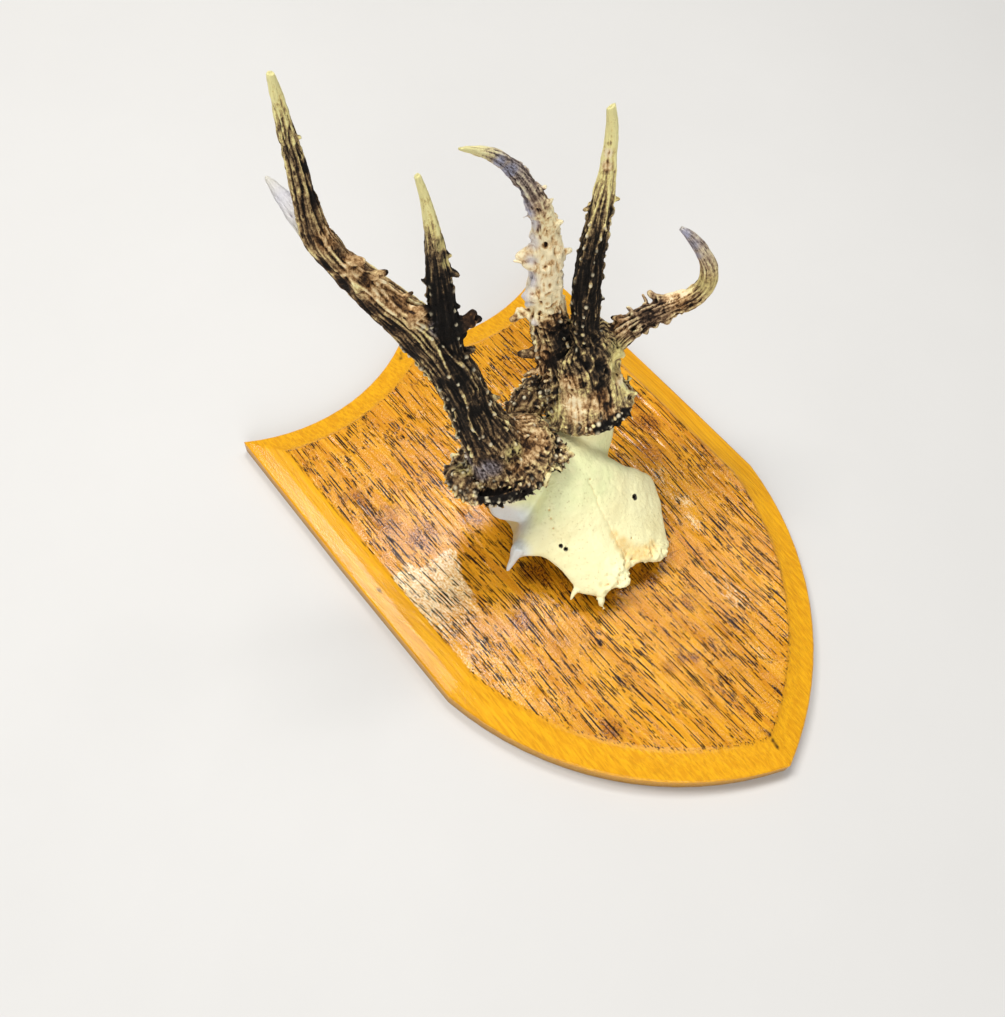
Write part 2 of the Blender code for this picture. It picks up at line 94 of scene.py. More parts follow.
LOG = logging.getLogger("roe_mount")

Point = tuple[float, float, float]
Row = tuple[float, ...]
Colour = tuple[float, float, float]
Field = np.ndarray


class Slot(Enum):
    """Material slots of the record."""

    OAK = "varnished_oak"
    BONE = "bleached_bone"
    ANTLER = "antler_brown"


class Paint(Enum):
    """Names of the painted layers that a piece carries for its material."""

    CREST = "crest"
    TONE = "tone"
    LILAC = "lilac"
    OLIVE = "olive"
    RUST = "rust"
    PEARL = "pearl"
    STREAK = "streak"
    STAIN = "stain"
    CHALK = "chalk"
    BEVEL = "bevel"
    WORN = "worn"
    SHADE = "shade"


# ---------------------------------------------------------------- bench tools


def select_only(*pieces: bpy.types.Object) -> None:
    """Deselects everything, then selects these pieces and makes the first one active.

    Args:
        *pieces: The objects to select.
    """
    bpy.ops.object.select_all(action="DESELECT")
    for piece in pieces:
        piece.select_set(True)
    bpy.context.view_layer.objects.active = pieces[0]


@contextmanager
def editing(piece: bpy.types.Object) -> Iterator[bmesh.types.BMesh]:
    """Opens a piece in edit mode with nothing selected, and closes it afterwards.

    Args:
        piece: The mesh object to edit.

    Returns:
        An iterator over the one edit mesh.
    """
    select_only(piece)
    bpy.ops.object.mode_set(mode="EDIT")
    bpy.ops.mesh.select_all(action="DESELECT")
    yield bmesh.from_edit_mesh(piece.data)
    bpy.ops.object.mode_set(mode="OBJECT")


def apply_modifier(piece: bpy.types.Object, kind: str, **settings: object) -> None:
    """Adds a modifier with these settings and applies it.

    Args:
        piece: The mesh object to change.
        kind: The modifier's type.
        **settings: The modifier's properties.
    """
    select_only(piece)
    modifier = piece.modifiers.new(kind.lower(), kind)
    for key, value in settings.items():
        setattr(modifier, key, value)
    bpy.ops.object.modifier_apply(modifier=modifier.name)


def join(pieces: list[bpy.types.Object], name: str) -> bpy.types.Object:
    """Joins pieces into one object.

    Args:
        pieces: The mesh objects to join.
        name: The name of the joined piece.

    Returns:
        The joined piece.
    """
    select_only(*pieces)
    bpy.ops.object.join()
    pieces[0].name = name
    return pieces[0]


def merged_copy(node: str, name: str) -> bpy.types.Object:
    """Copies a solid of the frame and merges its loose triangles.

    Args:
        node: The solid's name.
        name: The name of the copy.

    Returns:
        The copy, with a mesh of its own.
    """
    source = frame["nodes"][node]
    piece = bpy.data.objects.new(name, source.data.copy())
    piece.data.materials.clear()
    bpy.context.scene.collection.objects.link(piece)
    with editing(piece):
        bpy.ops.mesh.select_all(action="SELECT")
        bpy.ops.mesh.remove_doubles(threshold=1e-6)
        bpy.ops.mesh.customdata_custom_splitnormals_clear()
    return piece


def keep_largest(piece: bpy.types.Object) -> None:
    """Deletes the crumbs that a remesh leaves beside the one body that holds the highest point.

    Args:
        piece: The mesh object to clean.
    """
    with editing(piece) as mesh_data:
        max(mesh_data.verts, key=lambda vertex: vertex.co.z).select = True
        mesh_data.select_flush(True)
        bpy.ops.mesh.select_linked()
        bpy.ops.mesh.select_all(action="INVERT")
        bpy.ops.mesh.delete(type="VERT")


def remesh(piece: bpy.types.Object, voxel: float) -> None:
    size = voxel
    apply_modifier(piece, "REMESH", mode="VOXEL", voxel_size=size, use_smooth_shade=True)


def dress(piece: bpy.types.Object, material: bpy.types.Material) -> None:
    """Gives a piece its one material."""
    piece.data.materials.clear()
    piece.data.materials.append(material)


def vectors_of(items: bpy.types.bpy_prop_collection, key: str) -> Field:
    """The vectors of a mesh's items.

    Args:
        items: The vertices or normals.
        key: What each item calls its vector.

    Returns:
        One row of three for each item.
    """
    values = np.empty(len(items) * 3, np.float32)
    items.foreach_get(key, values)
    return values.reshape(-1, 3).astype(np.float64)


def points_of(piece: bpy.types.Object) -> Field:
    """Vertex positions of a piece in millimetres, one row each."""
    return vectors_of(piece.data.vertices, "co") / MM


def normals_of(piece: bpy.types.Object) -> Field:
    """Vertex normals of a piece, one row each."""
    return vectors_of(piece.data.vertex_normals, "vector")


def set_points(piece: bpy.types.Object, points: Field) -> None:
    """Moves the vertices of a piece to positions in millimetres."""
    piece.data.vertices.foreach_set("co", (points * MM).astype(np.float32).ravel())
    piece.data.update()


def paint(piece: bpy.types.Object, layer: Paint, values: Field) -> None:
    """Stores a painted layer on a piece: one number, or one vector, for each vertex.

    Args:
        piece: The mesh object to paint.
        layer: The layer's name.
        values: One value or one row of three for each vertex.
    """
    wide = values.ndim == 2
    kind, key = ("FLOAT_VECTOR", "vector") if wide else ("FLOAT", "value")
    attribute = piece.data.attributes.new(layer.value, kind, "POINT")
    attribute.data.foreach_set(key, values.astype(np.float32).ravel())


def paint_masks(piece: bpy.types.Object, masks: dict[Paint, Field]) -> None:
    """Stores painted layers that are held between 0 and 1."""
    for layer, values in masks.items():
        paint(piece, layer, np.clip(values, 0.0, 1.0))


def smoothstep(values: Field, low: float, high: float) -> Field:
    """Soft step from 0 at low to 1 at high."""
    share = np.clip((values - low) / (high - low), 0.0, 1.0)
    return share * share * (3.0 - 2.0 * share)


def noise(points: Field, seed: int) -> Field:
    """Smooth random field between -1 and 1, with about one bump for each unit of length.

    Args:
        points: Positions, one row each.
        seed: Which of many such fields.

    Returns:
        One number for each position.
    """
    cell = np.floor(points).astype(np.int64)
    share = points - cell
    fade = share * share * (3.0 - 2.0 * share)
    total = np.zeros(len(points))
    *factors, salt = HASH_FACTORS
    for corner in np.ndindex(2, 2, 2):
        mixed = np.bitwise_xor.reduce((cell + corner) * factors, axis=1) ^ seed * salt
        mixed = (mixed ^ (mixed >> 13)) * HASH_MIX & 0xFFFFFFFF
        mixed = (mixed ^ (mixed >> 16)) & 0xFFFF
        weight = np.prod(np.where(np.array(corner) == 1, fade, 1.0 - fade), axis=1)
        total += weight * (mixed / 32767.5 - 1.0)
    return total


def relaxed(piece: bpy.types.Object, values: Field, rounds: int) -> Field:
    """Evens out values over a mesh by averaging each vertex with its neighbours.

    Args:
        piece: The mesh object.
        values: One row for each vertex.
        rounds: How many times to average.

    Returns:
        The evened values.
    """
    count = len(values)
    ends = np.empty(len(piece.data.edges) * 2, np.int32)
    piece.data.edges.foreach_get("vertices", ends)
    ends = ends.reshape(-1, 2)
    both = np.concatenate([ends, ends[:, ::-1]])
    degree = np.maximum(np.bincount(both[:, 0], minlength=count), 1)
    even = values.reshape(count, -1).copy()
    for _ in range(rounds):
        around = [np.bincount(both[:, 0], even[both[:, 1], axis], count) for axis in range(even.shape[1])]
        even = 0.5 * even + 0.5 * np.stack(around, axis=1) / degree[:, None]
    return even.reshape(values.shape)


def crest_of(piece: bpy.types.Object, rounds: int, reach: float) -> Field:
    """How far each vertex stands proud of its surroundings, from 0 in a pit to 1 on a crest.

    Args:
        piece: The mesh object.
        rounds: How wide the surroundings are, in rounds of averaging.
        reach: The height that counts as a full crest, in millimetres.

    Returns:
        One number for each vertex.
    """
    points = points_of(piece)
    proud = np.einsum("ij,ij->i", points - relaxed(piece, points, rounds), normals_of(piece))
    return np.clip(0.5 + 0.5 * proud / reach, 0.0, 1.0)


def spots(points: Field, marks: tuple[Row, ...]) -> Field:
    """Soft round spots.

    Args:
        points: Positions in millimetres.
        marks: Centre and radius of each spot.

    Returns:
        The share of the strongest spot at each position.
    """
    share = np.zeros(len(points))
    for *centre, radius in marks:
        distance = np.linalg.norm(points - centre, axis=1)
        share = np.maximum(share, 1.0 - smoothstep(distance, SPOT_CORE * radius, radius))
    return share


# ---------------------------------------------------------------- shader tools


@dataclass(frozen=True)
class Wire:
    """What leaves a node, and can be added, subtracted, multiplied and compared."""

    sheet: "Sheet"
    socket: bpy.types.NodeSocket

    def _math(self, operation: str, *terms: "Wire | float") -> "Wire":
        """The result of a Math node on these terms."""
        return self.sheet.wire("Math", dict(enumerate(terms)), operation=operation)

    def __add__(self, other: "Wire | float") -> "Wire":
        """This value plus another."""
        return self._math("ADD", self, other)

    def __sub__(self, other: "Wire | float") -> "Wire":
        """This value less another."""
        return self._math("SUBTRACT", self, other)

    def __rsub__(self, other: float) -> "Wire":
        """A number less this value."""
        return self._math("SUBTRACT", other, self)

    def __mul__(self, other: "Wire | float") -> "Wire":
        """This value times another."""
        return self._math("MULTIPLY", self, other)

    def __abs__(self) -> "Wire":
        """This value without its sign."""
        return self._math("ABSOLUTE", self)

    def larger(self, other: "Wire") -> "Wire":
        """The larger of this value and another."""
        return self._math("MAXIMUM", self, other)

    def swing(self, width: "Wire | float") -> "Wire":
        """This mask turned into a swing about zero, of a width from end to end."""
        return (self - 0.5) * width

    def step(self, low: float, high: float) -> "Wire":
        """A soft step from 0 at low to 1 at high."""
        return self.sheet.wire("MapRange", {0: self, 1: low, 2: high}, interpolation_type="SMOOTHSTEP")

    def stretched(self, scale: "Point | Wire") -> "Wire":
        """This vector multiplied axis by axis."""
        return self.sheet.wire("VectorMath", {0: self, 1: scale}, operation="MULTIPLY")


class Sheet:
    """A node tree, with short ways to lay and join its nodes."""

    def __init__(self, tree: bpy.types.NodeTree) -> None:
        """Takes the tree to work on."""
        self.tree = tree

    def fill(self, node: bpy.types.Node, inputs: dict[str | int, object]) -> bpy.types.Node:
        """Sets a node's inputs.

        Args:
            node: The node.
            inputs: Values or wires for its inputs, by name or number.

        Returns:
            The same node.
        """
        for key, value in inputs.items():
            if isinstance(value, Wire):
                self.tree.links.new(value.socket, node.inputs[key])
            else:
                node.inputs[key].default_value = value
        return node

    def add(self, kind: str, inputs: dict[str | int, object], **settings: object) -> bpy.types.Node:
        """Lays a node.

        Args:
            kind: The node's type, without the word ShaderNode.
            inputs: Values or wires for its inputs, by name or number.
            **settings: The node's properties.

        Returns:
            The node.
        """
        node = self.tree.nodes.new("ShaderNode" + kind)
        for key, value in settings.items():
            setattr(node, key, value)
        return self.fill(node, inputs)

    def wire(self, kind: str, inputs: dict[str | int, object], output: str | int = 0,
             **settings: object) -> Wire:
        """Lays a node and takes one of its outputs.

        Args:
            kind: The node's type, without the word ShaderNode.
            inputs: Values or wires for its inputs, by name or number.
            output: The output's name or number.
            **settings: The node's properties.

        Returns:
            What leaves by that output.
        """
        return Wire(self, self.add(kind, inputs, **settings).outputs[output])

    def noise(self, vector: Wire, scale: Wire | float, detail: float, **more: float) -> Wire:
        """Noise at a scale in bumps for each unit of the vector."""
        return self.wire("TexNoise", {"Vector": vector, "Scale": scale, "Detail": detail, **more})

    def mix(self, share: Wire | float, first: Wire | Colour, second: Wire | Colour) -> Wire:
        """Two colours mixed by a share between 0 and 1.

        Args:
            share: How much of the second colour shows.
            first: The colour below.
            second: The colour above.

        Returns:
            The mixed colour.
        """
        below, above = (item if isinstance(item, Wire) else (*item, 1.0) for item in (first, second))
        return self.wire("Mix", {0: share, 6: below, 7: above}, 2, data_type="RGBA", clamp_factor=True)

    def ramp(self, value: Wire, stops: tuple[tuple[float, Colour], ...]) -> Wire:
        """A colour ramp.

        Args:
            value: Where to read the ramp.
            stops: The place and colour of each stop.

        Returns:
            The colour there.
        """
        node = self.add("ValToRGB", {0: value})
        bar = node.color_ramp
        while len(bar.elements) < len(stops):
            bar.elements.new(1.0)
        for element, (place, colour) in zip(bar.elements, stops):
            element.position = place
            element.color = (*colour, 1.0)
        return Wire(self, node.outputs[0])

    def layer(self, name: Paint, output: str = "Fac") -> Wire:
        """A painted layer: its number, or its Vector."""
        return self.wire("Attribute", {}, output, attribute_name=name.value, attribute_type="GEOMETRY")

    def bump(self, height: Wire, depth: float) -> Wire:
        """The normal that a height between 0 and 1 and a depth in metres give."""
        return self.wire("Bump", {"Height": height, "Distance": depth, "Strength": 1.0})

    def group(self, tree: bpy.types.NodeTree, **inputs: object) -> Wire:
        """Places a node group with its own values."""
        return Wire(self, self.fill(self.add("Group", {}, node_tree=tree), inputs).outputs[0])


class Effect:
    """A node group that puts out one mask."""

    def __init__(self, name: str, **inputs: float) -> None:
        """Starts the group.

        Args:
            name: The group's name.
            **inputs: The default of each input beside the vector.
        """
        self.tree = bpy.data.node_groups.new(name, "ShaderNodeTree")
        self.tree.interface.new_socket("Vector", in_out="INPUT", socket_type="NodeSocketVector")
        for key, default in inputs.items():
            socket = self.tree.interface.new_socket(key, in_out="INPUT", socket_type="NodeSocketFloat")
            socket.default_value = default
        self.tree.interface.new_socket("Mask", in_out="OUTPUT", socket_type="NodeSocketFloat")
        self.sheet = Sheet(self.tree)
        self.entry = self.tree.nodes.new("NodeGroupInput")

    def given(self, key: str) -> Wire:
        """What enters by an input."""
        return Wire(self.sheet, self.entry.outputs[key])

    def drawn_out(self) -> Wire:
        """The vector at the scales Across and Along.

        Returns:
            The vector, multiplied axis by axis.
        """
        across = self.given("Across")
        return self.given("Vector").stretched(
            self.sheet.wire("CombineXYZ", {0: across, 1: across, 2: self.given("Along")}))

    def end(self, mask: Wire) -> bpy.types.NodeTree:
        """Joins the mask to the group's output, and gives the group."""
        self.tree.links.new(mask.socket, self.tree.nodes.new("NodeGroupOutput").inputs[0])
        return self.tree


@dataclass(frozen=True)
class SharedEffects:
    """Effects that more than one finish uses, each built once as a node group."""

    mottle: bpy.types.NodeTree
    fibres: bpy.types.NodeTree
    pores: bpy.types.NodeTree

    @classmethod
    def build(cls) -> "SharedEffects":
        """Builds the three groups."""
        return cls(cls._mottle(), cls._fibres(), cls._pores())

    @staticmethod
    def _mottle() -> bpy.types.NodeTree:
        """Cloudy uneven colour, from 0 to 1, at a scale in bumps per metre.

        Returns:
            The group.
        """
        group = Effect("aged_mottle", Scale=60.0, Contrast=1.0)
        cloud = group.sheet.noise(group.given("Vector"), group.given("Scale"), 5.0, Roughness=0.62)
        spread = cloud.swing(group.given("Contrast") * 2.0) + 0.5
        return group.end(group.sheet.wire("Clamp", {0: spread}))

    @staticmethod
    def _fibres() -> bpy.types.NodeTree:
        """Fine lines that run along the third axis of the vector, from 0 to 1.

        Returns:
            The group.
        """
        group = Effect("lengthwise_fibres", Across=900.0, Along=40.0)
        lines = group.sheet.noise(group.drawn_out(), 1.0, 4.0, Roughness=0.55, Distortion=0.35)
        return group.end(lines.step(0.3, 0.7))

    @staticmethod
    def _pores() -> bpy.types.NodeTree:
        """Separate small ragged pits, drawn out along the third axis: 1 in a pit and 0 between.

        Returns:
            The group.
        """
        group = Effect("scattered_pores", Across=700.0, Along=90.0, Width=0.3)
        cells = group.sheet.wire("TexVoronoi", {"Vector": group.drawn_out(), "Scale": 1.0}, "Distance")
        ragged = group.sheet.noise(group.given("Vector"), 1300.0, 1.0)
        inner = group.given("Width") + ragged.swing(0.24) - cells
        return group.end((inner * 14.0).step(0.0, 1.0))


# ---------------------------------------------------------------- finishes


@dataclass(frozen=True)
class Finish:
    """What every finish has in common: its material's name and the shared effects."""

    name: str
    effects: SharedEffects

    def start(self, **constants: float) -> tuple[bpy.types.Material, Sheet, Wire]:
        """Starts a material and sets its shader's constant sockets.

        Args:
            **constants: Values of the shader's inputs, with underscores for spaces.

        Returns:
            The material, its sheet and the object's own coordinates.
        """
        material = bpy.data.materials.new(self.name)
        material.use_nodes = True
        sheet = Sheet(material.node_tree)
        inputs = {key.replace("_", " "): value for key, value in constants.items()}
        sheet.fill(material.node_tree.nodes["Principled BSDF"], inputs)
        return material, sheet, sheet.wire("TexCoord", {}, "Object")

    def end(self, material: bpy.types.Material, sheet: Sheet, **inputs: Wire) -> bpy.types.Material:
        """Joins what varies over the surface to the shader.

        Args:
            material: The material.
            sheet: Its sheet.
            **inputs: Wires for the shader's inputs, with underscores for spaces.

        Returns:
            The finished material.
        """
        wires = {key.replace("_", " "): wire for key, wire in inputs.items()}
        sheet.fill(material.node_tree.nodes["Principled BSDF"], wires)
        return material

    def cloud(self, sheet: Sheet, vector: Wire, scale: float, contrast: float) -> Wire:
        """The shared mottle at a scale and contrast."""
        return sheet.group(self.effects.mottle, Vector=vector, Scale=scale, Contrast=contrast)

    def lines(self, sheet: Sheet, vector: Wire, across: float, along: float) -> Wire:
        """The shared fibres at scales across and along them."""
        return sheet.group(self.effects.fibres, Vector=vector, Across=across, Along=along)

    def pits(self, sheet: Sheet, vector: Wire, across: float, along: float, width: float) -> Wire:
        """The shared pores at scales across and along them, and of a width."""
        return sheet.group(self.effects.pores, Vector=vector, Across=across, Along=along, Width=width)


@dataclass(frozen=True)
class VarnishedOak(Finish):
    """Amber oak under satin varnish: open pores in rows, brown flecks, a pale patch, and painted sheen, shade
    and shadow.
    """

    amber: Colour = (0.64, 0.25, 0.004)
    honey: Colour = (0.86, 0.42, 0.014)
    russet: Colour = (0.40, 0.12, 0.004)
    umber: Colour = (0.075, 0.024, 0.006)
    bevel: Colour = (0.80, 0.40, 0.010)
    bevel_line: Colour = (0.56, 0.22, 0.006)
    # Near black, for the pores and for painted shade.
    pore_and_shade: Colour = (0.010, 0.005, 0.004)
    sheen: Colour = (0.95, 0.83, 0.54)
    fleck_scale: Point = (420.0, 190.0, 60.0)
    ray_scale: Point = (62.0, 260.0, 60.0)
    grain_depth: float = 0.0004
    film_depth: float = 0.00012

    def material(self) -> bpy.types.Material:
        """Builds the material.

        Returns:
            The material.
        """
        material, sheet, spot = self.start(Coat_Roughness=0.14, Coat_IOR=1.5, Specular_IOR_Level=0.08)
        axes = sheet.add("SeparateXYZ", {0: spot})
        x, y, z = (Wire(sheet, output) for output in axes.outputs)
        grain = sheet.wire("CombineXYZ", {0: sheet.noise(spot, 9.0, 1.0) * 0.016 + x, 1: z, 2: y})
        bands = self.lines(sheet, grain, 110.0, 5.0)
        lines = self.lines(sheet, grain, 800.0, 26.0)
        hairs = self.lines(sheet, grain, 2600.0, 420.0)
        cloud = self.cloud(sheet, spot, 34.0, 1.5)
        clump = self.cloud(sheet, grain, 66.0, 2.0)
        grit = self.cloud(sheet, spot, 1100.0, 2.2)
        fleck = sheet.noise(spot.stretched(self.fleck_scale), 1.0, 5.0, Roughness=0.7).step(0.53, 0.62)
        ray = abs(sheet.noise(spot.stretched(self.ray_scale), 1.0, 1.5) - 0.5).step(0.020, 0.004)

        on_bevel = sheet.layer(Paint.BEVEL)
        on_face = 1.0 - on_bevel
        stain = sheet.layer(Paint.STAIN)
        # Painted sheen: cream speckle at the right of the face, where the varnish catches the light; the same
        # cream fills the pale patch by the left bevel.
        worn = (sheet.mix(0.5, grit, hairs) * 0.6 + sheet.layer(Paint.WORN) * 0.8).step(0.70, 1.16)
        cracks = self.pits(sheet, grain, 540.0, 30.0, 0.24)
        cracks = cracks.larger(self.pits(sheet, grain, 1000.0, 36.0, 0.28))
        dashes = self.pits(sheet, grain, 900.0, 105.0, 0.31) * clump.step(0.2, 0.6)
        specks = self.pits(sheet, grain, 1250.0, 210.0, 0.30) * clump.step(0.45, 0.9)
        pits = cracks.larger(dashes.larger(specks)) * (on_face * 0.9 + 0.1)

        body = sheet.mix(lines, self.amber, self.honey)
        body = sheet.mix(cloud * 0.38, body, self.russet)
        body = sheet.mix(bands * 0.16, body, self.russet)
        body = sheet.mix(fleck * (clump + stain).step(0.25, 1.1) * 0.85, body, self.umber)
        body = sheet.mix(ray * cloud.step(0.5, 1.5), body, self.umber)
        # The stain layer: brown smudges, partly painted shadow under the skull's front edge and beside the
        # left coronet.
        body = sheet.mix(stain * 0.7, body, self.russet)
        body = sheet.mix(stain * grit.step(0.3, 1.0), body, self.umber)
        smooth = sheet.mix(lines * 0.7, self.bevel, self.bevel_line)
        body = sheet.mix(on_bevel, body, sheet.mix(hairs * 0.22, smooth, self.bevel_line))
        body = sheet.mix(worn * 0.8, body, self.sheen)
        body = sheet.mix(pits * 0.97, body, self.pore_and_shade)
        # Painted shade in the pore colour: the shade layer darkens the sides towards the floor and the crease
        # at the bottom point, and also holds a real nail hole and chips.
        body = sheet.mix(sheet.layer(Paint.SHADE), body, self.pore_and_shade)
        return self.end(
            material, sheet,
            Base_Color=body,
            Roughness=worn * 0.2 + 0.36 + pits * 0.3,
            Coat_Weight=on_face * 0.2 + 0.28 - pits * 0.3,
            Normal=sheet.bump(lines * 0.35 - pits + grit * on_face * 0.3, self.grain_depth),
            Coat_Normal=sheet.bump(sheet.noise(spot, 900.0, 3.0), self.film_depth),
        )


@dataclass(frozen=True)
class BleachedBone(Finish):
    """Boiled bone: cream with greenish places, pale grey places partly in painted cool shade, stains and fine
    pores.
    """

    cream: Colour = (0.89, 0.85, 0.50)
    butter: Colour = (0.84, 0.77, 0.42)
    green: Colour = (0.76, 0.79, 0.42)
    chalky_cool_shade: Colour = (0.68, 0.70, 0.68)
    ochre: Colour = (0.78, 0.52, 0.17)
    tan: Colour = (0.62, 0.34, 0.12)
    # Near black, for painted shade inside the openings and at the cap's foot on the board.
    painted_shade: Colour = (0.012, 0.007, 0.004)
    relief_depth: float = 0.0003

    def material(self) -> bpy.types.Material:
        """Builds the material.

        Returns:
            The material.
        """
        material, sheet, spot = self.start(Specular_IOR_Level=0.4)
        cloud = self.cloud(sheet, spot, 70.0, 1.3)
        grime = self.cloud(sheet, spot, 420.0, 1.4)
        lines = self.lines(sheet, spot, 500.0, 160.0)
        pores = self.pits(sheet, spot, 620.0, 620.0, 0.16)
        body = sheet.mix(cloud, self.cream, self.butter)
        body = sheet.mix(sheet.layer(Paint.OLIVE) * 0.75, body, self.green)
        # Partly painted cool shade: the bluish-white flange below the right coronet faces away from the
        # light; the orbit's point is whiter bone.
        body = sheet.mix(sheet.layer(Paint.CHALK), body, self.chalky_cool_shade)
        body = sheet.mix(sheet.layer(Paint.STAIN) * (grime * 0.5 + 0.45), body, self.ochre)
        body = sheet.mix(sheet.layer(Paint.CREST).step(0.45, 0.1) * 0.75, body, self.tan)
        body = sheet.mix(pores * (grime * 0.5), body, self.tan)
        # Painted shade: the shade layer darkens the insides of the openings and the foot where the cap sits
        # on the board.
        body = sheet.mix(sheet.layer(Paint.SHADE), body, self.painted_shade)
        return self.end(
            material, sheet,
            Base_Color=body,
            Roughness=cloud * 0.22 + 0.42,
            Normal=sheet.bump(lines * 0.4 + grime * 0.4 - pores, self.relief_depth),
        )


@dataclass(frozen=True)
class AntlerHorn(Finish):
    """Antler: black furrows, brown ridges, pale pearls and ivory tips."""

    slate: Colour = (0.17, 0.165, 0.20)
    bluish: Colour = (0.55, 0.55, 0.70)
    olive: Colour = (0.66, 0.57, 0.22)
    pearl: Colour = (0.78, 0.69, 0.47)
    relief_depth: float = 0.0004
    shades: tuple[tuple[float, Colour], ...] = (
        (0.0, (0.004, 0.003, 0.002)), (0.2, (0.014, 0.010, 0.007)), (0.38, (0.060, 0.038, 0.020)),
        (0.55, (0.23, 0.150, 0.072)), (0.72, (0.52, 0.39, 0.17)), (0.86, (0.84, 0.70, 0.27)),
        (1.0, (0.98, 0.89, 0.41)),
    )
    tans: tuple[tuple[float, Colour], ...] = (
        (0.0, (0.010, 0.005, 0.003)), (0.25, (0.055, 0.026, 0.011)), (0.45, (0.25, 0.125, 0.045)),
        (0.62, (0.56, 0.34, 0.15)), (0.8, (0.84, 0.61, 0.32)), (1.0, (0.98, 0.84, 0.54)),
    )

    def material(self) -> bpy.types.Material:
        """Builds the material.

        Returns:
            The material.
        """
        material, sheet, spot = self.start(Specular_IOR_Level=0.18)
        run = sheet.layer(Paint.STREAK, "Vector")
        tone = sheet.layer(Paint.TONE)
        rust = sheet.layer(Paint.RUST)
        cloud = self.cloud(sheet, spot, 160.0, 1.3)
        grime = self.cloud(sheet, spot, 620.0, 1.5)
        crumbs = self.cloud(sheet, spot, 1500.0, 1.7)
        lines = self.lines(sheet, run, 950.0, 60.0)
        hairs = self.lines(sheet, run, 2400.0, 200.0)
        specks = self.pits(sheet, run, 460.0, 210.0, 0.24) * tone.step(1.0, 0.5)

        level = sheet.layer(Paint.CREST).swing(1.1) + tone
        level = level + lines.swing((tone.step(1.0, 0.55) * 0.26 + 0.14) * (1.0 - rust * 0.7))
        level = level + cloud.swing(rust * 0.42 + 0.22) + grime.swing(0.24) + crumbs.swing(0.16)
        level = level - specks * 0.3
        body = sheet.mix(rust, sheet.ramp(level, self.shades), sheet.ramp(level, self.tans))
        # Cool colours: partly lilac weathering, partly painted shade, the bluish cast where only the sky
        # lights a shaded side.
        cool = sheet.mix(level.step(0.3, 1.0), self.slate, self.bluish)
        body = sheet.mix(sheet.layer(Paint.LILAC) * level.step(0.05, 0.6), body, cool)
        body = sheet.mix(sheet.layer(Paint.OLIVE) * level.step(0.2, 0.75), body, self.olive)
        body = sheet.mix(sheet.layer(Paint.PEARL), body, self.pearl)
        height = lines * 0.6 + hairs * 0.3 + (grime * 0.4 + crumbs * 0.4) - specks
        return self.end(
            material, sheet,
            Base_Color=body,
            Roughness=0.72 - level.step(0.3, 1.0) * 0.3,
            Normal=sheet.bump(height, self.relief_depth),
        )


@dataclass(frozen=True)
class PaleFloor(Finish):
    """The plain pale floor."""

    colour: Colour = (0.62, 0.61, 0.59)

    def material(self) -> bpy.types.Material:
        """Builds the material.

        Returns:
            The material.
        """
        material, sheet, spot = self.start()
        cloud = self.cloud(sheet, spot, 8.0, 0.5)
        darker = tuple(0.94 * part for part in self.colour)
        body = sheet.mix(cloud, self.colour, darker)
        return self.end(material, sheet, Base_Color=body, Roughness=cloud * 0.1 + 0.6)


# ---------------------------------------------------------------- antlers


def smooth_rows(stations: tuple[Row, ...], steps: int) -> Field:
    """Smooth curve through stations of any width, with so many steps between two.

    Args:
        stations: The rows to pass through.
        steps: Steps from one row to the next.

    Returns:
        The rows of the curve.
    """
    rows = np.array(stations, float)
    rows = np.vstack([2.0 * rows[0] - rows[1], rows, 2.0 * rows[-1] - rows[-2]])
    share = (np.arange(steps) / steps)[:, None]
    curve = []
    for before, start, end, after in zip(rows, rows[1:], rows[2:], rows[3:]):
        curve.append(0.5 * (2.0 * start + (end - before) * share
                            + (2.0 * before - 5.0 * start + 4.0 * end - after) * share ** 2
                            + (3.0 * start - before - 3.0 * end + after) * share ** 3))
    return np.vstack([*curve, rows[-2:-1]])


def unit(vectors: Field) -> Field:
    """Vectors of length one."""
    return vectors / np.linalg.norm(vectors, axis=-1, keepdims=True)


@dataclass(frozen=True)
class Placement:
    """Where points lie about a branch.

    Reach is a point's distance from the middle as a share of the branch's radius, angle its
    angle about the branch, along its millimetres from the root, and radius the branch's own.
    """

    reach: Field
    angle: Field
    along: Field
    radius: Field


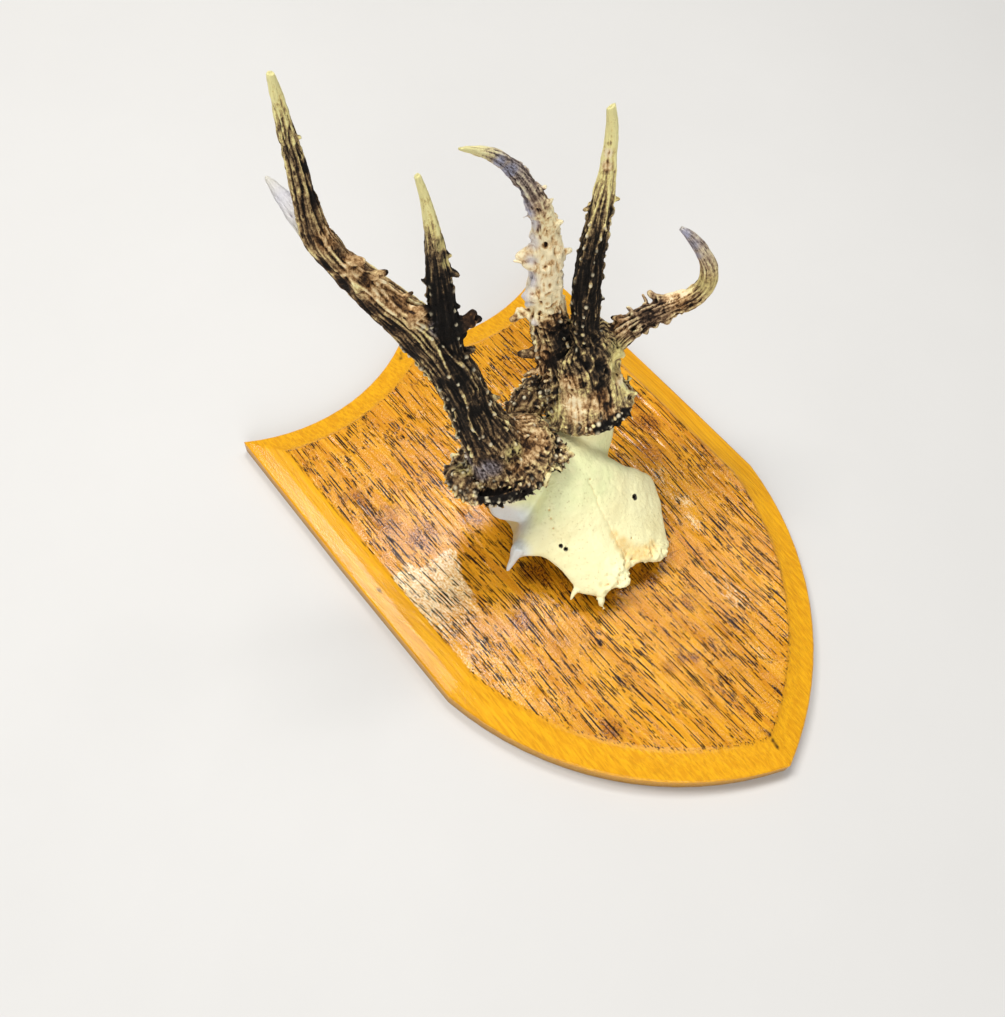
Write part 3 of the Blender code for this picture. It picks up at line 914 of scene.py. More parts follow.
class BranchPath:
    """A smooth path through stations, with a steady frame at each step."""

    CHUNK = 16000
    THINNEST = 0.3
    OVERSHOOT = 3.0

    def __init__(self, stations: tuple[Row, ...], steps: int, level_stations: int, slope: float) -> None:
        """Lays the path.

        Args:
            stations: Position, half width and half depth of each station.
            steps: Steps between two stations.
            level_stations: How many of the first stations lie in the coronet's plane.
            slope: How far that plane leans down the shield.
        """
        rows = smooth_rows(stations, steps)
        self.centres = rows[:, :3]
        self.sizes = np.maximum(rows[:, 3:5], self.THINNEST)
        tangents = np.gradient(self.centres, axis=0)
        tangents[:level_stations * steps] = (0.0, slope, 1.0)
        self.tangents = unit(tangents)
        side = np.array((1.0, 0.0, 0.0))
        sides = []
        for tangent in self.tangents:
            side = unit(side - tangent * side.dot(tangent))
            sides.append(side)
        self.sides = np.array(sides)
        self.backs = np.cross(self.tangents, self.sides)
        steps_long = np.linalg.norm(np.diff(self.centres, axis=0), axis=1)
        self.lengths = np.concatenate([[0.0], np.cumsum(steps_long)])

    def frame(self, index: int) -> Quaternion:
        """The turn from the world's axes to the side, back and tangent at a step."""
        columns = (self.sides[index], self.backs[index], self.tangents[index])
        return Matrix(np.column_stack(columns).tolist()).to_quaternion()

    def surface(self, share: float, angle: float) -> tuple[Field, Field, Field]:
        """A point on the branch and the directions outward from it and along it there.

        Args:
            share: Share of the branch's length.
            angle: Angle about the branch.

        Returns:
            The point in millimetres, the outward direction and the forward direction.
        """
        place = np.interp(share * self.lengths[-1], self.lengths, np.arange(len(self.lengths)))
        index = int(round(place))
        wide, deep = self.sizes[index]
        side, back = self.sides[index], self.backs[index]
        point = self.centres[index] + side * math.cos(angle) * wide + back * math.sin(angle) * deep
        outward = unit(side * math.cos(angle) * deep + back * math.sin(angle) * wide)
        return point, outward, self.tangents[index]

    def place(self, points: Field) -> Placement:
        """Finds where points lie about the branch.

        Args:
            points: Positions in millimetres.

        Returns:
            The placement of each point.
        """
        nearest = np.concatenate([
            ((points[start:start + self.CHUNK, None] - self.centres[None]) ** 2).sum(2).argmin(1)
            for start in range(0, len(points), self.CHUNK)
        ])
        offset = points - self.centres[nearest]
        forward = np.einsum("ij,ij->i", offset, self.tangents[nearest])
        across = np.einsum("ij,ij->i", offset, self.sides[nearest]) / self.sizes[nearest, 0]
        back = np.einsum("ij,ij->i", offset, self.backs[nearest]) / self.sizes[nearest, 1]
        radius = self.sizes[nearest].mean(1)
        overshoot = np.maximum(np.abs(forward) - self.OVERSHOOT, 0.0) / radius
        reach = np.sqrt(across ** 2 + back ** 2 + overshoot ** 2)
        return Placement(reach, np.arctan2(back, across), self.lengths[nearest] + forward, radius)


@dataclass(frozen=True)
class PearlRow:
    """A wandering row of pearls up a branch: its angle at the root and where its waves start."""

    angle: float
    phase: float

    def at(self, along: Field | float) -> Field | float:
        """The row's angle at a distance along the branch in millimetres."""
        slow = 0.24 * np.sin(along / 15.0 + self.phase)
        return self.angle + slow + 0.10 * np.sin(along / 5.3 + 2.0 * self.phase)


@dataclass(frozen=True)
class Branch:
    """One branch of an antler: its stations, and how it changes from root to tip.

    A station is a position, a half width and a half depth. Tone, furrow, gnarl, lilac and
    rust are values spread evenly from the root to the tip: how light it is, how deep its
    furrows and how high its knots are, and how much of each colour it has.
    """

    stations: tuple[Row, ...]
    tone: Row
    furrow: Row = (1, 1, 0.15)
    gnarl: Row = (0.4, 0.3, 0.1)
    lilac: Row = (0,)
    rust: Row = (0,)
    pearl_rows: int = 0
    pearl_reach: float = 0.6
    level_stations: int = 0
    columns: int = 20

    def profile(self, key: str, share: Field) -> Field:
        """One of the branch's rows of values, spread evenly from root to tip, at shares of the length."""
        values = getattr(self, key)
        return np.interp(share, np.linspace(0.0, 1.0, len(values)), values)

    def rows(self, chance: np.random.Generator) -> list[PearlRow]:
        """The branch's rows of pearls, spread round it at random.

        Args:
            chance: The source of random numbers.

        Returns:
            The rows.
        """
        return [
            PearlRow(FULL_TURN * (row + chance.uniform(-0.3, 0.3)) / self.pearl_rows,
                     chance.uniform(0.0, FULL_TURN))
            for row in range(self.pearl_rows)
        ]


@dataclass(frozen=True)
class Pearl:
    """A pearl on an antler, in millimetres and directions of length one.

    Its stretch is its length along the branch and its height its length outward, both in
    radii; pale says how light its tip is, from 0 to 1.
    """

    foot: Field
    outward: Field
    along: Field
    radius: float
    stretch: float
    height: float
    pale: float

    def tip(self) -> Field:
        """Where its lightest point lies."""
        return self.foot + self.outward * self.radius * self.height * 1.25


@dataclass
class Antler:
    """One antler, grown from its coronet, with its knobs, pearls and furrows.

    Every row is in millimetres. A knob is a foot, a tip and a radius at the foot; a swelling
    is a centre and three half sizes; a dent is a centre, a radius and a depth; a pit or spot
    is a centre and a radius. A gap is a range of angles, in degrees, where the coronet's rim
    carries only a few pearls. A ring of the rim is its lift, its inset and its pearls' size.
    """

    name: str
    nodes: tuple[str, ...]
    branches: tuple[Branch, ...]
    knobs: tuple[Row, ...]
    swellings: tuple[Row, ...]
    dents: tuple[Row, ...]
    pits: tuple[Row, ...]
    dark_spots: tuple[Row, ...]
    soot_spots: tuple[Row, ...]
    pale_spots: tuple[Row, ...]
    lilac_spots: tuple[Row, ...]
    olive_spots: tuple[Row, ...]
    rust_spots: tuple[Row, ...]
    seed: int
    rim_pearls: int
    rim_gaps: tuple[tuple[float, float], ...] = ()
    rings: tuple[Row, ...] = (
        (-2.6, 1.4, 0.85), (-0.9, 0.3, 1.05), (0.7, 0.2, 1.15), (2.2, 1, 1.1), (3.6, 2.6, 0.95),
        (4.9, 4.8, 0.8), (6.2, 7, 0.65),
    )
    knob_shape: tuple[tuple[float, float], ...] = ((0, 1.6), (0.3, 1.15), (0.62, 0.9), (0.86, 0.7), (1, 0.4))
    knob_bend: float = 0.1
    knob_columns: int = 10
    steps: int = 4
    coronet_slope: float = 0.3
    voxel: float = 0.00055
    blend: float = 8.0
    ridge_height: float = 0.5
    pit_depth: float = 2.4
    crest_rounds: int = 8
    crest_reach: float = 0.55
    pale_strength: float = 0.28
    dark_strength: float = 0.42
    side_strength: float = 0.26
    soot_strength: float = 0.95
    lilac_strength: float = 0.85
    paths: list[BranchPath] = field(default_factory=list)
    rows: list[list[PearlRow]] = field(default_factory=list)

    def build(self, finish: AntlerHorn) -> bpy.types.Object:
        """Builds, carves, paints and dresses the antler.

        Args:
            finish: The antler's finish.

        Returns:
            The finished piece.
        """
        chance = np.random.default_rng(self.seed)
        self.paths = [
            BranchPath(branch.stations, self.steps, branch.level_stations, self.coronet_slope)
            for branch in self.branches
        ]
        self.rows = [branch.rows(chance) for branch in self.branches]
        pieces = [self._sweep(path, branch.columns) for path, branch in zip(self.paths, self.branches)]
        pieces += [self._knob(row, chance) for row in self.knobs]
        pieces += [self._swelling(row) for row in self.swellings]
        pearls = self._pearls(chance)
        drop = self._drop()
        pieces += [self._copy_drop(drop, pearl) for pearl in pearls]
        bpy.data.objects.remove(drop)
        piece = join(pieces, self.name)
        remesh(piece, self.voxel)
        keep_largest(piece)
        self._carve(piece, pearls)
        dress(piece, finish.material())
        return piece

    def _sweep(self, path: BranchPath, columns: int) -> bpy.types.Object:
        """Extrudes a ring along a path, turning and resizing it at every step.

        Args:
            path: The path.
            columns: How many corners the ring has.

        Returns:
            The branch.
        """
        cursor = bpy.context.scene.cursor
        cursor.rotation_mode = "QUATERNION"
        frames = [path.frame(index) for index in range(len(path.centres))]
        centres = [Vector(centre) * MM for centre in path.centres]
        bpy.ops.mesh.primitive_circle_add(vertices=columns, radius=MM, fill_type="NGON", location=centres[0],
                                          rotation=frames[0].to_euler())
        piece = bpy.context.object
        select_only(piece)
        bpy.ops.object.transform_apply(location=True, rotation=True, scale=True)
        with editing(piece):
            bpy.ops.mesh.select_all(action="SELECT")
            cursor.rotation_quaternion = frames[0]
            bpy.ops.transform.resize(value=(*path.sizes[0], 1.0), orient_type="CURSOR",
                                     center_override=centres[0])
            for index in range(1, len(centres)):
                step = centres[index] - centres[index - 1]
                bpy.ops.mesh.extrude_region_move(TRANSFORM_OT_translate={"value": step})
                turn = frames[index] @ frames[index - 1].inverted()
                axis, angle = turn.to_axis_angle()
                cursor.rotation_quaternion = axis.to_track_quat("Z", "Y")
                bpy.ops.transform.rotate(value=-angle, orient_axis="Z", orient_type="CURSOR",
                                         center_override=centres[index])
                cursor.rotation_quaternion = frames[index]
                ratio = path.sizes[index] / path.sizes[index - 1]
                bpy.ops.transform.resize(value=(*ratio, 1.0), orient_type="CURSOR",
                                         center_override=centres[index])
            bpy.ops.mesh.select_all(action="SELECT")
            bpy.ops.mesh.normals_make_consistent(inside=False)
        return piece

    def _knob(self, row: Row, chance: np.random.Generator) -> bpy.types.Object:
        """A short bent thorn.

        Args:
            row: Its foot, its tip and its radius at the foot.
            chance: The source of random numbers.

        Returns:
            The thorn.
        """
        start, end, radius = np.array(row[:3]), np.array(row[3:6]), row[6]
        bend = chance.normal(0.0, self.knob_bend, 3) * np.linalg.norm(end - start)
        stations = []
        for share, size in self.knob_shape:
            centre = start + (end - start) * share + bend * math.sin(math.pi * share)
            stations.append((*centre, radius * size, radius * size))
        return self._sweep(BranchPath(tuple(stations), 1, 0, 0.0), self.knob_columns)

    def _swelling(self, row: Row) -> bpy.types.Object:
        """A rounded lump on the coronet.

        Args:
            row: Its centre and its half sizes.

        Returns:
            The lump.
        """
        bpy.ops.mesh.primitive_uv_sphere_add(segments=24, ring_count=14, radius=MM,
                                             location=Vector(row[:3]) * MM)
        piece = bpy.context.object
        select_only(piece)
        bpy.ops.transform.resize(value=row[3:])
        bpy.ops.object.transform_apply(location=True, rotation=True, scale=True)
        return piece

    def _drop(self) -> bpy.types.Object:
        """The one pearl that all others are copied from: a ball drawn out to a blunt point.

        Returns:
            The pearl, one metre in radius.
        """
        bpy.ops.mesh.primitive_ico_sphere_add(subdivisions=2, radius=1.0)
        piece = bpy.context.object
        with editing(piece) as mesh_data:
            for vertex in mesh_data.verts:
                vertex.select = vertex.co.z > 0.3
            mesh_data.select_flush(True)
            bpy.ops.transform.resize(value=(0.72, 0.72, 1.0), center_override=(0.0, 0.0, 0.0))
            bpy.ops.transform.translate(value=(0.0, 0.0, 0.45))
        return piece

    def _copy_drop(self, drop: bpy.types.Object, pearl: Pearl) -> bpy.types.Object:
        """A copy of the drop, turned outward and drawn out along the branch.

        Args:
            drop: The pearl to copy.
            pearl: The place and size of the copy.

        Returns:
            The copy.
        """
        piece = bpy.data.objects.new("pearl", drop.data.copy())
        bpy.context.scene.collection.objects.link(piece)
        across = unit(np.cross(pearl.along, pearl.outward))
        size = pearl.radius * MM
        columns = (across * size, np.cross(pearl.outward, across) * size * pearl.stretch,
                   pearl.outward * size * pearl.height)
        place = Matrix(np.column_stack(columns).tolist()).to_4x4()
        place.translation = Vector(pearl.foot) * MM
        piece.data.transform(place)
        return piece

    def _pearls(self, chance: np.random.Generator) -> list[Pearl]:
        """Pearls in rows up the branches, round the coronet's rim and over the swellings.

        Args:
            chance: The source of random numbers.

        Returns:
            The pearls.
        """
        pearls: list[Pearl] = []
        for branch, path, rows in zip(self.branches, self.paths, self.rows):
            for row in rows:
                pearls += self._row_pearls(branch, path, row, chance)
        pearls += self._rim_pearls(chance)
        for row in self.swellings:
            pearls += self._swelling_pearls(np.array(row[:3]), np.array(row[3:]), chance)
        return pearls

    def _row_pearls(self, branch: Branch, path: BranchPath, row: PearlRow,
                    chance: np.random.Generator) -> list[Pearl]:
        """Small pearls of uneven length along a row.

        Args:
            branch: The branch that carries the row.
            path: The branch's path.
            row: The row.
            chance: The source of random numbers.

        Returns:
            The pearls.
        """
        pearls = []
        share = chance.uniform(0.03, 0.08)
        while share < branch.pearl_reach:
            along = share * path.lengths[-1]
            foot, outward, forward = path.surface(share, row.at(along) + chance.normal(0.0, 0.04))
            radius = chance.uniform(0.45, 0.95)
            stretch = chance.uniform(0.9, 2.6)
            pearls.append(Pearl(foot, unit(outward + chance.normal(0.0, 0.15, 3)), forward, radius, stretch,
                                chance.uniform(0.9, 1.7), 0.2 + 0.8 * chance.uniform(0.0, 1.0) ** 1.2))
            share += (radius * stretch + chance.uniform(1.5, 8.0)) / path.lengths[-1]
        return pearls

    def _rim_pearls(self, chance: np.random.Generator) -> list[Pearl]:
        """Crowded finger-like pearls round the coronet, in rings from its underside inward.

        Args:
            chance: The source of random numbers.

        Returns:
            The pearls.
        """
        path = self.paths[0]
        rim = int(np.argmax(path.sizes[:4 * self.steps, 0]))
        pearls = []
        for ring, (lift, inset, size) in enumerate(self.rings):
            count = int(self.rim_pearls * (1.0 - 0.09 * ring))
            for index in range(count):
                angle = FULL_TURN * (index + chance.uniform(-0.5, 0.5)) / count
                bare = any(low <= math.degrees(angle) % 360.0 <= high for low, high in self.rim_gaps)
                if chance.uniform() < (0.8 if bare else 0.07 * ring):
                    continue
                wide, deep = path.sizes[rim] - inset - chance.uniform(-0.4, 1.2)
                outward = path.sides[rim] * math.cos(angle) * deep + path.backs[rim] * math.sin(angle) * wide
                foot = (path.centres[rim] + path.sides[rim] * math.cos(angle) * wide
                        + path.backs[rim] * math.sin(angle) * deep
                        + path.tangents[rim] * (lift + chance.uniform(-0.8, 0.8)))
                lean = path.tangents[rim] * (0.1 + 0.2 * ring) + chance.normal(0.0, 0.42, 3)
                along = unit(path.tangents[rim] + chance.normal(0.0, 0.5, 3))
                pearls.append(Pearl(foot, unit(unit(outward) + lean), along,
                                    size * chance.uniform(0.5, 1.15), chance.uniform(0.7, 1.6),
                                    chance.uniform(1.0, 2.9 - 0.15 * ring), chance.uniform(0.0, 1.0) ** 2.6))
        return pearls

    def _swelling_pearls(self, centre: Field, sizes: Field, chance: np.random.Generator) -> list[Pearl]:
        """Pearls crowded all over a swelling.

        Args:
            centre: The swelling's centre.
            sizes: Its half sizes.
            chance: The source of random numbers.

        Returns:
            The pearls.
        """
        pearls = []
        for _ in range(int(0.5 * sizes[0] * sizes[1] * math.pi)):
            outward = unit(chance.normal(0.0, 1.0, 3))
            lean = unit(unit(outward / sizes) + chance.normal(0.0, 0.25, 3))
            pearls.append(Pearl(
                centre + outward * sizes, lean, np.array((0.12, 0.05, 1.0)), chance.uniform(0.65, 1.25),
                chance.uniform(0.8, 1.5), chance.uniform(1.0, 2.2), chance.uniform(0.0, 1.0) ** 2.4))
        return pearls

    def _carve(self, piece: bpy.types.Object, pearls: list[Pearl]) -> None:
        """Carves dents, furrows and pits along the branches and paints the layers.

        Args:
            piece: The remeshed antler.
            pearls: Its pearls.
        """
        points = points_of(piece)
        normals = normals_of(piece)
        places = [path.place(points) for path in self.paths]
        reach = np.stack([place.reach for place in places])
        weight = np.exp(-self.blend * (reach - reach.min(0)))
        weight /= weight.sum(0)
        first = reach.argmin(0)
        proud = smoothstep(reach.min(0), 1.1, 1.3)
        shares = {key: np.zeros(len(points)) for key in ("gnarl", "tone", "lilac", "rust")}
        height, ridges = np.zeros(len(points)), np.zeros(len(points))
        streak = np.zeros((len(points), 3))
        for index, (branch, path, place) in enumerate(zip(self.branches, self.paths, places)):
            share = np.clip(place.along / path.lengths[-1], 0.0, 1.0)
            pattern = np.sqrt(9.0 * place.radius)
            run = np.column_stack([np.cos(place.angle) * pattern, np.sin(place.angle) * pattern, place.along])
            ridge = self._ridges(branch, self.rows[index], place, share)
            furrows = self._furrows(run, self.seed + 10 * index) * (1.0 - 0.8 * ridge)
            height += weight[index] * branch.profile("furrow", share) * furrows
            ridges += weight[index] * ridge
            for key, values in shares.items():
                values += weight[index] * branch.profile(key, share)
            mine = first == index
            streak[mine] = run[mine] + 40.0 * index
        pits = spots(points, self.pits)
        height = (height + self.ridge_height * ridges) * (1.0 - proud) - self.pit_depth * pits
        height += shares["gnarl"] * (1.0 - 0.6 * proud) * self._gnarl(points)
        for *centre, radius, depth in self.dents:
            height -= depth * spots(points, ((*centre, radius),))
        set_points(piece, points + normals * height[:, None])

        cloud = noise(points / 4.0, self.seed + 90)
        pale, body = self._pearl_masks(points_of(piece), pearls)
        tone = shares["tone"] + 0.10 * cloud - 0.5 * pits + 0.14 * ridges * (1.0 - proud)
        tone += self.pale_strength * spots(points, self.pale_spots)
        tone -= self.dark_strength * spots(points, self.dark_spots) + self.side_strength * body
        tone -= self.soot_strength * spots(points, self.soot_spots) * (0.8 + 0.2 * cloud)
        lilac = self.lilac_strength * spots(points, self.lilac_spots) * (0.7 + 0.3 * cloud)
        paint(piece, Paint.TONE, tone)
        paint(piece, Paint.STREAK, streak * MM)
        paint_masks(piece, {
            Paint.CREST: crest_of(piece, self.crest_rounds, self.crest_reach),
            Paint.LILAC: shares["lilac"] + lilac,
            Paint.RUST: shares["rust"] + spots(points, self.rust_spots),
            Paint.OLIVE: spots(points, self.olive_spots) * (0.8 + 0.4 * cloud),
            Paint.PEARL: pale,
        })

    @staticmethod
    def _ridges(branch: Branch, rows: list[PearlRow], place: Placement, share: Field) -> Field:
        """How close each point lies to the thin ridge that carries a row of pearls.

        Args:
            branch: The branch.
            rows: Its rows of pearls.
            place: Where the points lie about it.
            share: Their shares of its length.

        Returns:
            From 0 away from the ridges to 1 on them.
        """
        ridge = np.zeros(len(share))
        for row in rows:
            turn = (place.angle - row.at(place.along) + math.pi) % FULL_TURN - math.pi
            ridge = np.maximum(ridge, np.exp(-(turn * place.radius / 0.6) ** 2))
        last = branch.pearl_reach
        ends = smoothstep(share, 0.0, 0.16) * (1.0 - smoothstep(share, last, last + 0.25))
        return ridge * ends

    @staticmethod
    def _furrows(run: Field, seed: int) -> Field:
        """Height of long wandering ridges and furrows.

        Args:
            run: Positions across and along a branch, in millimetres.
            seed: Which of many such patterns.

        Returns:
            Millimetres at each position.
        """
        bend = 1.2 * noise(run / 9.0, seed + 2)
        run = run + np.column_stack([bend, -bend, 0.0 * bend])
        wide = noise(run / (2.0, 2.0, 16.0), seed)
        fine = noise(run / (1.1, 1.1, 7.0), seed + 1)
        furrow = np.exp(-(wide / 0.3) ** 2)
        scratch = np.exp(-(fine / 0.35) ** 2)
        return 0.55 * np.abs(wide) - 0.8 * furrow - 0.42 * scratch + 0.28

    def _gnarl(self, points: Field) -> Field:
        """Height of knotty bumps and black hollows.

        Args:
            points: Positions in millimetres.

        Returns:
            Millimetres at each position.
        """
        lumps = noise(points / 3.1, self.seed + 60)
        knots = noise(points / 1.5, self.seed + 61)
        hollows = np.maximum(-0.25 - noise(points / 2.1, self.seed + 62), 0.0)
        return 0.8 * lumps + 0.6 * np.maximum(knots, 0.0) - 2.2 * hollows

    @staticmethod
    def _pearl_masks(points: Field, pearls: list[Pearl]) -> tuple[Field, Field]:
        """How far each point belongs to a pearl's pale tip, and to its dark sides.

        Args:
            points: Positions in millimetres.
            pearls: The antler's pearls.

        Returns:
            Two masks: the tips and the sides.
        """
        tips, feet = KDTree(len(pearls)), KDTree(len(pearls))
        for index, pearl in enumerate(pearls):
            tips.insert(pearl.tip(), index)
            feet.insert(pearl.foot + pearl.outward * pearl.radius * 0.4, index)
        tips.balance()
        feet.balance()
        pale, body = np.zeros(len(points)), np.zeros(len(points))
        for row, point in enumerate(points):
            _, index, distance = tips.find(point)
            pearl = pearls[index]
            pale[row] = 2.4 * pearl.pale * max(0.0, 1.0 - distance / (1.05 * pearl.radius + 0.25))
            _, index, distance = feet.find(point)
            body[row] = 1.6 * max(0.0, 1.0 - distance / (1.9 * pearls[index].radius))
        return np.clip(pale, 0.0, 1.0), np.clip(body, 0.0, 1.0)


# ---------------------------------------------------------------- skull cap


@dataclass
class SkullCap:
    """The sawn-off skull cap: smooth frontal bones, suture, openings and a broken edge."""

    voxel: float = 0.0006
    suture: tuple[Row, ...] = (
        (1.2, 2, 59.4), (1.4, -4, 55), (-0.2, -10, 49.6), (0.5, -18.6, 42.9), (0.2, -24, 39.5),
        (1.5, -30, 35),
    )
    grooves: tuple[tuple[Row, ...], ...] = (
        ((12.5, -1.5, 53.4), (13.6, -5.5, 50.2), (16.5, -9.5, 45.5), (21, -11.8, 41.8)),
        ((-20.9, 3.6, 53.9), (-22.3, -0.7, 50.5), (-23.7, -5.2, 45.9), (-23.5, -9.5, 42.2)),
    )
    orbit_point: tuple[Point, Point] = ((-37.5, 2.5, 40.5), (-44.7, 1.2, 24.5))
    orbit_middle: Point = (-43, 1.5, 30)
    openings: tuple[Row, ...] = (
        (21.8, -11.9, 41.4, 1.25), (-23.5, -9.9, 41.9, 0.8), (-22.2, -12.1, 40.6, 0.85),
    )
    pits: tuple[Row, ...] = (
        (-20.9, 3.6, 53.9, 0.8), (-22, 0.4, 51.3, 0.7), (-23, -3.2, 48, 0.7), (2.6, 2.2, 59.4, 0.8),
        (8, -26, 37, 0.9),
    )
    stains: tuple[Row, ...] = (
        (0.6, -21, 41.6, 3.6), (1.6, -25.5, 38.2, 5.5), (3, -29.5, 35.4, 6.5), (6.5, -32.5, 32.6, 6.5),
        (11, -34, 30.6, 6), (16, -33, 30, 4.5), (-1, -34.5, 33.5, 3.5),
    )
    # Pale grey places, partly painted cool shade on the flange below the right coronet.
    chalk: tuple[Row, ...] = ((-34, 17, 44, 17), (-41, 3, 37, 11), (-44, 1.2, 26, 12))
    green: tuple[Row, ...] = ((-10, 9.5, 62, 26), (24, 12, 54, 18), (-24, 12, 54, 16), (4, 2, 60, 20))
    suture_width: float = 0.6
    suture_depth: float = 0.55
    valley_width: float = 4.5
    valley_depth: float = 1.3
    groove_width: float = 0.8
    groove_depth: float = 0.35
    pit_depth: float = 0.9
    edge_relief: float = 1.2
    edge_pits: float = 1.6
    drill_length: float = 9.0
    drill_tilt: float = 28.0
    crest_rounds: int = 6
    crest_reach: float = 0.5

    def build(self, finish: BleachedBone) -> bpy.types.Object:
        """Builds, carves, paints and dresses the skull cap.

        Args:
            finish: The bone's finish.

        Returns:
            The finished piece.
        """
        piece = merged_copy("skull_cap", "skull_cap_bone")
        remesh(piece, self.voxel)
        self._round_off(piece)
        self._carve(piece)
        self._drill(piece)
        self._paint(piece)
        dress(piece, finish.material())
        return piece

    def _round_off(self, piece: bpy.types.Object) -> None:
        """Slims the orbit's point and smooths the facets away, less where the bone is thin.

        Args:
            piece: The remeshed bone.
        """
        points = points_of(piece)
        foot, tip = np.array(self.orbit_point)
        axis = tip - foot
        share = np.clip((points - foot) @ axis / (axis @ axis), 0.0, 1.0)
        off = points - foot - share[:, None] * axis
        near = smoothstep(share, 0.25, 0.9) * (1.0 - smoothstep(np.linalg.norm(off, axis=1), 5.0, 8.0))
        points = points - off * 0.5 * near[:, None]
        set_points(piece, points)
        rounds = 48
        thin = 1.0 - smoothstep(points[:, 1], -34.0, -24.0)
        distance = np.linalg.norm(points - self.orbit_middle, axis=1)
        thin = np.maximum(thin, 1.0 - smoothstep(distance, 9.0, 14.0))
        soft = relaxed(piece, points, rounds)
        firm = relaxed(piece, points, 3)
        set_points(piece, soft + (firm - soft) * thin[:, None])

    @staticmethod
    def _line_depth(points: Field, line: tuple[Row, ...], width: float, sway: float) -> Field:
        """How deep in a groove each point lies.

        Args:
            points: Positions in millimetres.
            line: Points that the groove passes through.
            width: The groove's width in millimetres.
            sway: How far it wanders from side to side.

        Returns:
            From 0 outside the groove to 1 on its line.
        """
        row = smooth_rows(line, 14)
        row[:, 0] += sway * noise(row[:, [1, 1, 1]] / 1.7, 5)
        nearest = ((points[:, None, :2] - row[None, :, :2]) ** 2).sum(2).min(1)
        above = smoothstep(points[:, 2], row[:, 2].min() - 6.0, row[:, 2].min() - 3.0)
        return np.exp(-nearest / width ** 2) * above

    def _carve(self, piece: bpy.types.Object) -> None:
        """Carves the suture, its valley, the grooves, pits and the porous edge.

        Args:
            piece: The smoothed bone.
        """
        points = points_of(piece)
        height = 0.5 * noise(points / 9.0, 3) + 0.22 * noise(points / 4.0, 9) + 0.10 * noise(points / 1.9, 4)
        height -= self.suture_depth * self._line_depth(points, self.suture, self.suture_width, 0.6)
        valley = 1.0 - smoothstep(points[:, 1], -30.0, -8.0)
        height -= self.valley_depth * valley * self._line_depth(points, self.suture, self.valley_width, 0.0)
        for groove in self.grooves:
            height -= self.groove_depth * self._line_depth(points, groove, self.groove_width, 0.4)
        height -= self.pit_depth * spots(points, self.pits)
        edge = 1.0 - smoothstep(points[:, 1] + 0.25 * np.abs(points[:, 0]), -32.0, -25.0)
        crumb = np.maximum(noise(points / 1.6, 7) - 0.15, 0.0)
        height += edge * (self.edge_relief * noise(points / 2.4, 6) - self.edge_pits * crumb)
        set_points(piece, points + normals_of(piece) * height[:, None])

    def _drill(self, piece: bpy.types.Object) -> None:
        """Drills the openings of the frontal bones.

        Args:
            piece: The carved bone.
        """
        cutters = []
        for x, y, z, radius in self.openings:
            bpy.ops.mesh.primitive_cone_add(
                vertices=18, radius1=0.6 * radius * MM, radius2=1.15 * radius * MM,
                depth=self.drill_length * MM, location=Vector((x, y + 1.2, z - 1.5)) * MM,
                rotation=(math.radians(self.drill_tilt), 0.0, 0.0))
            cutters.append(bpy.context.object)
        cutter = join(cutters, "drill")
        apply_modifier(piece, "BOOLEAN", operation="DIFFERENCE", solver="EXACT", object=cutter)
        bpy.data.objects.remove(cutter)
        piece.data.shade_smooth()

    def _paint(self, piece: bpy.types.Object) -> None:
        """Paints the layers that the bone's finish reads.

        Args:
            piece: The drilled bone.
        """
        points = points_of(piece)
        cloud = 0.5 + 0.5 * noise(points / 3.2, 8)
        # Painted shade: the insides of the openings, and the cap's foot near the board, are darkened.
        holes = tuple((x, y + 0.5 * deep, z - 0.9 * deep, 1.7 * radius)
                      for x, y, z, radius in self.openings for deep in (0.0, 1.2, 2.4, 3.6))
        seat = 1.0 - smoothstep(points[:, 2], 14.8, 19.0)
        paint_masks(piece, {
            Paint.CREST: crest_of(piece, self.crest_rounds, self.crest_reach),
            Paint.STAIN: spots(points, self.stains) * (0.75 + 0.35 * cloud),
            Paint.CHALK: spots(points, self.chalk),
            Paint.OLIVE: spots(points, self.green) * (0.5 + 0.9 * cloud),
            Paint.SHADE: smoothstep(spots(points, holes), 0.22, 0.45) + 0.25 * seat,
        })


# ---------------------------------------------------------------- oak shield


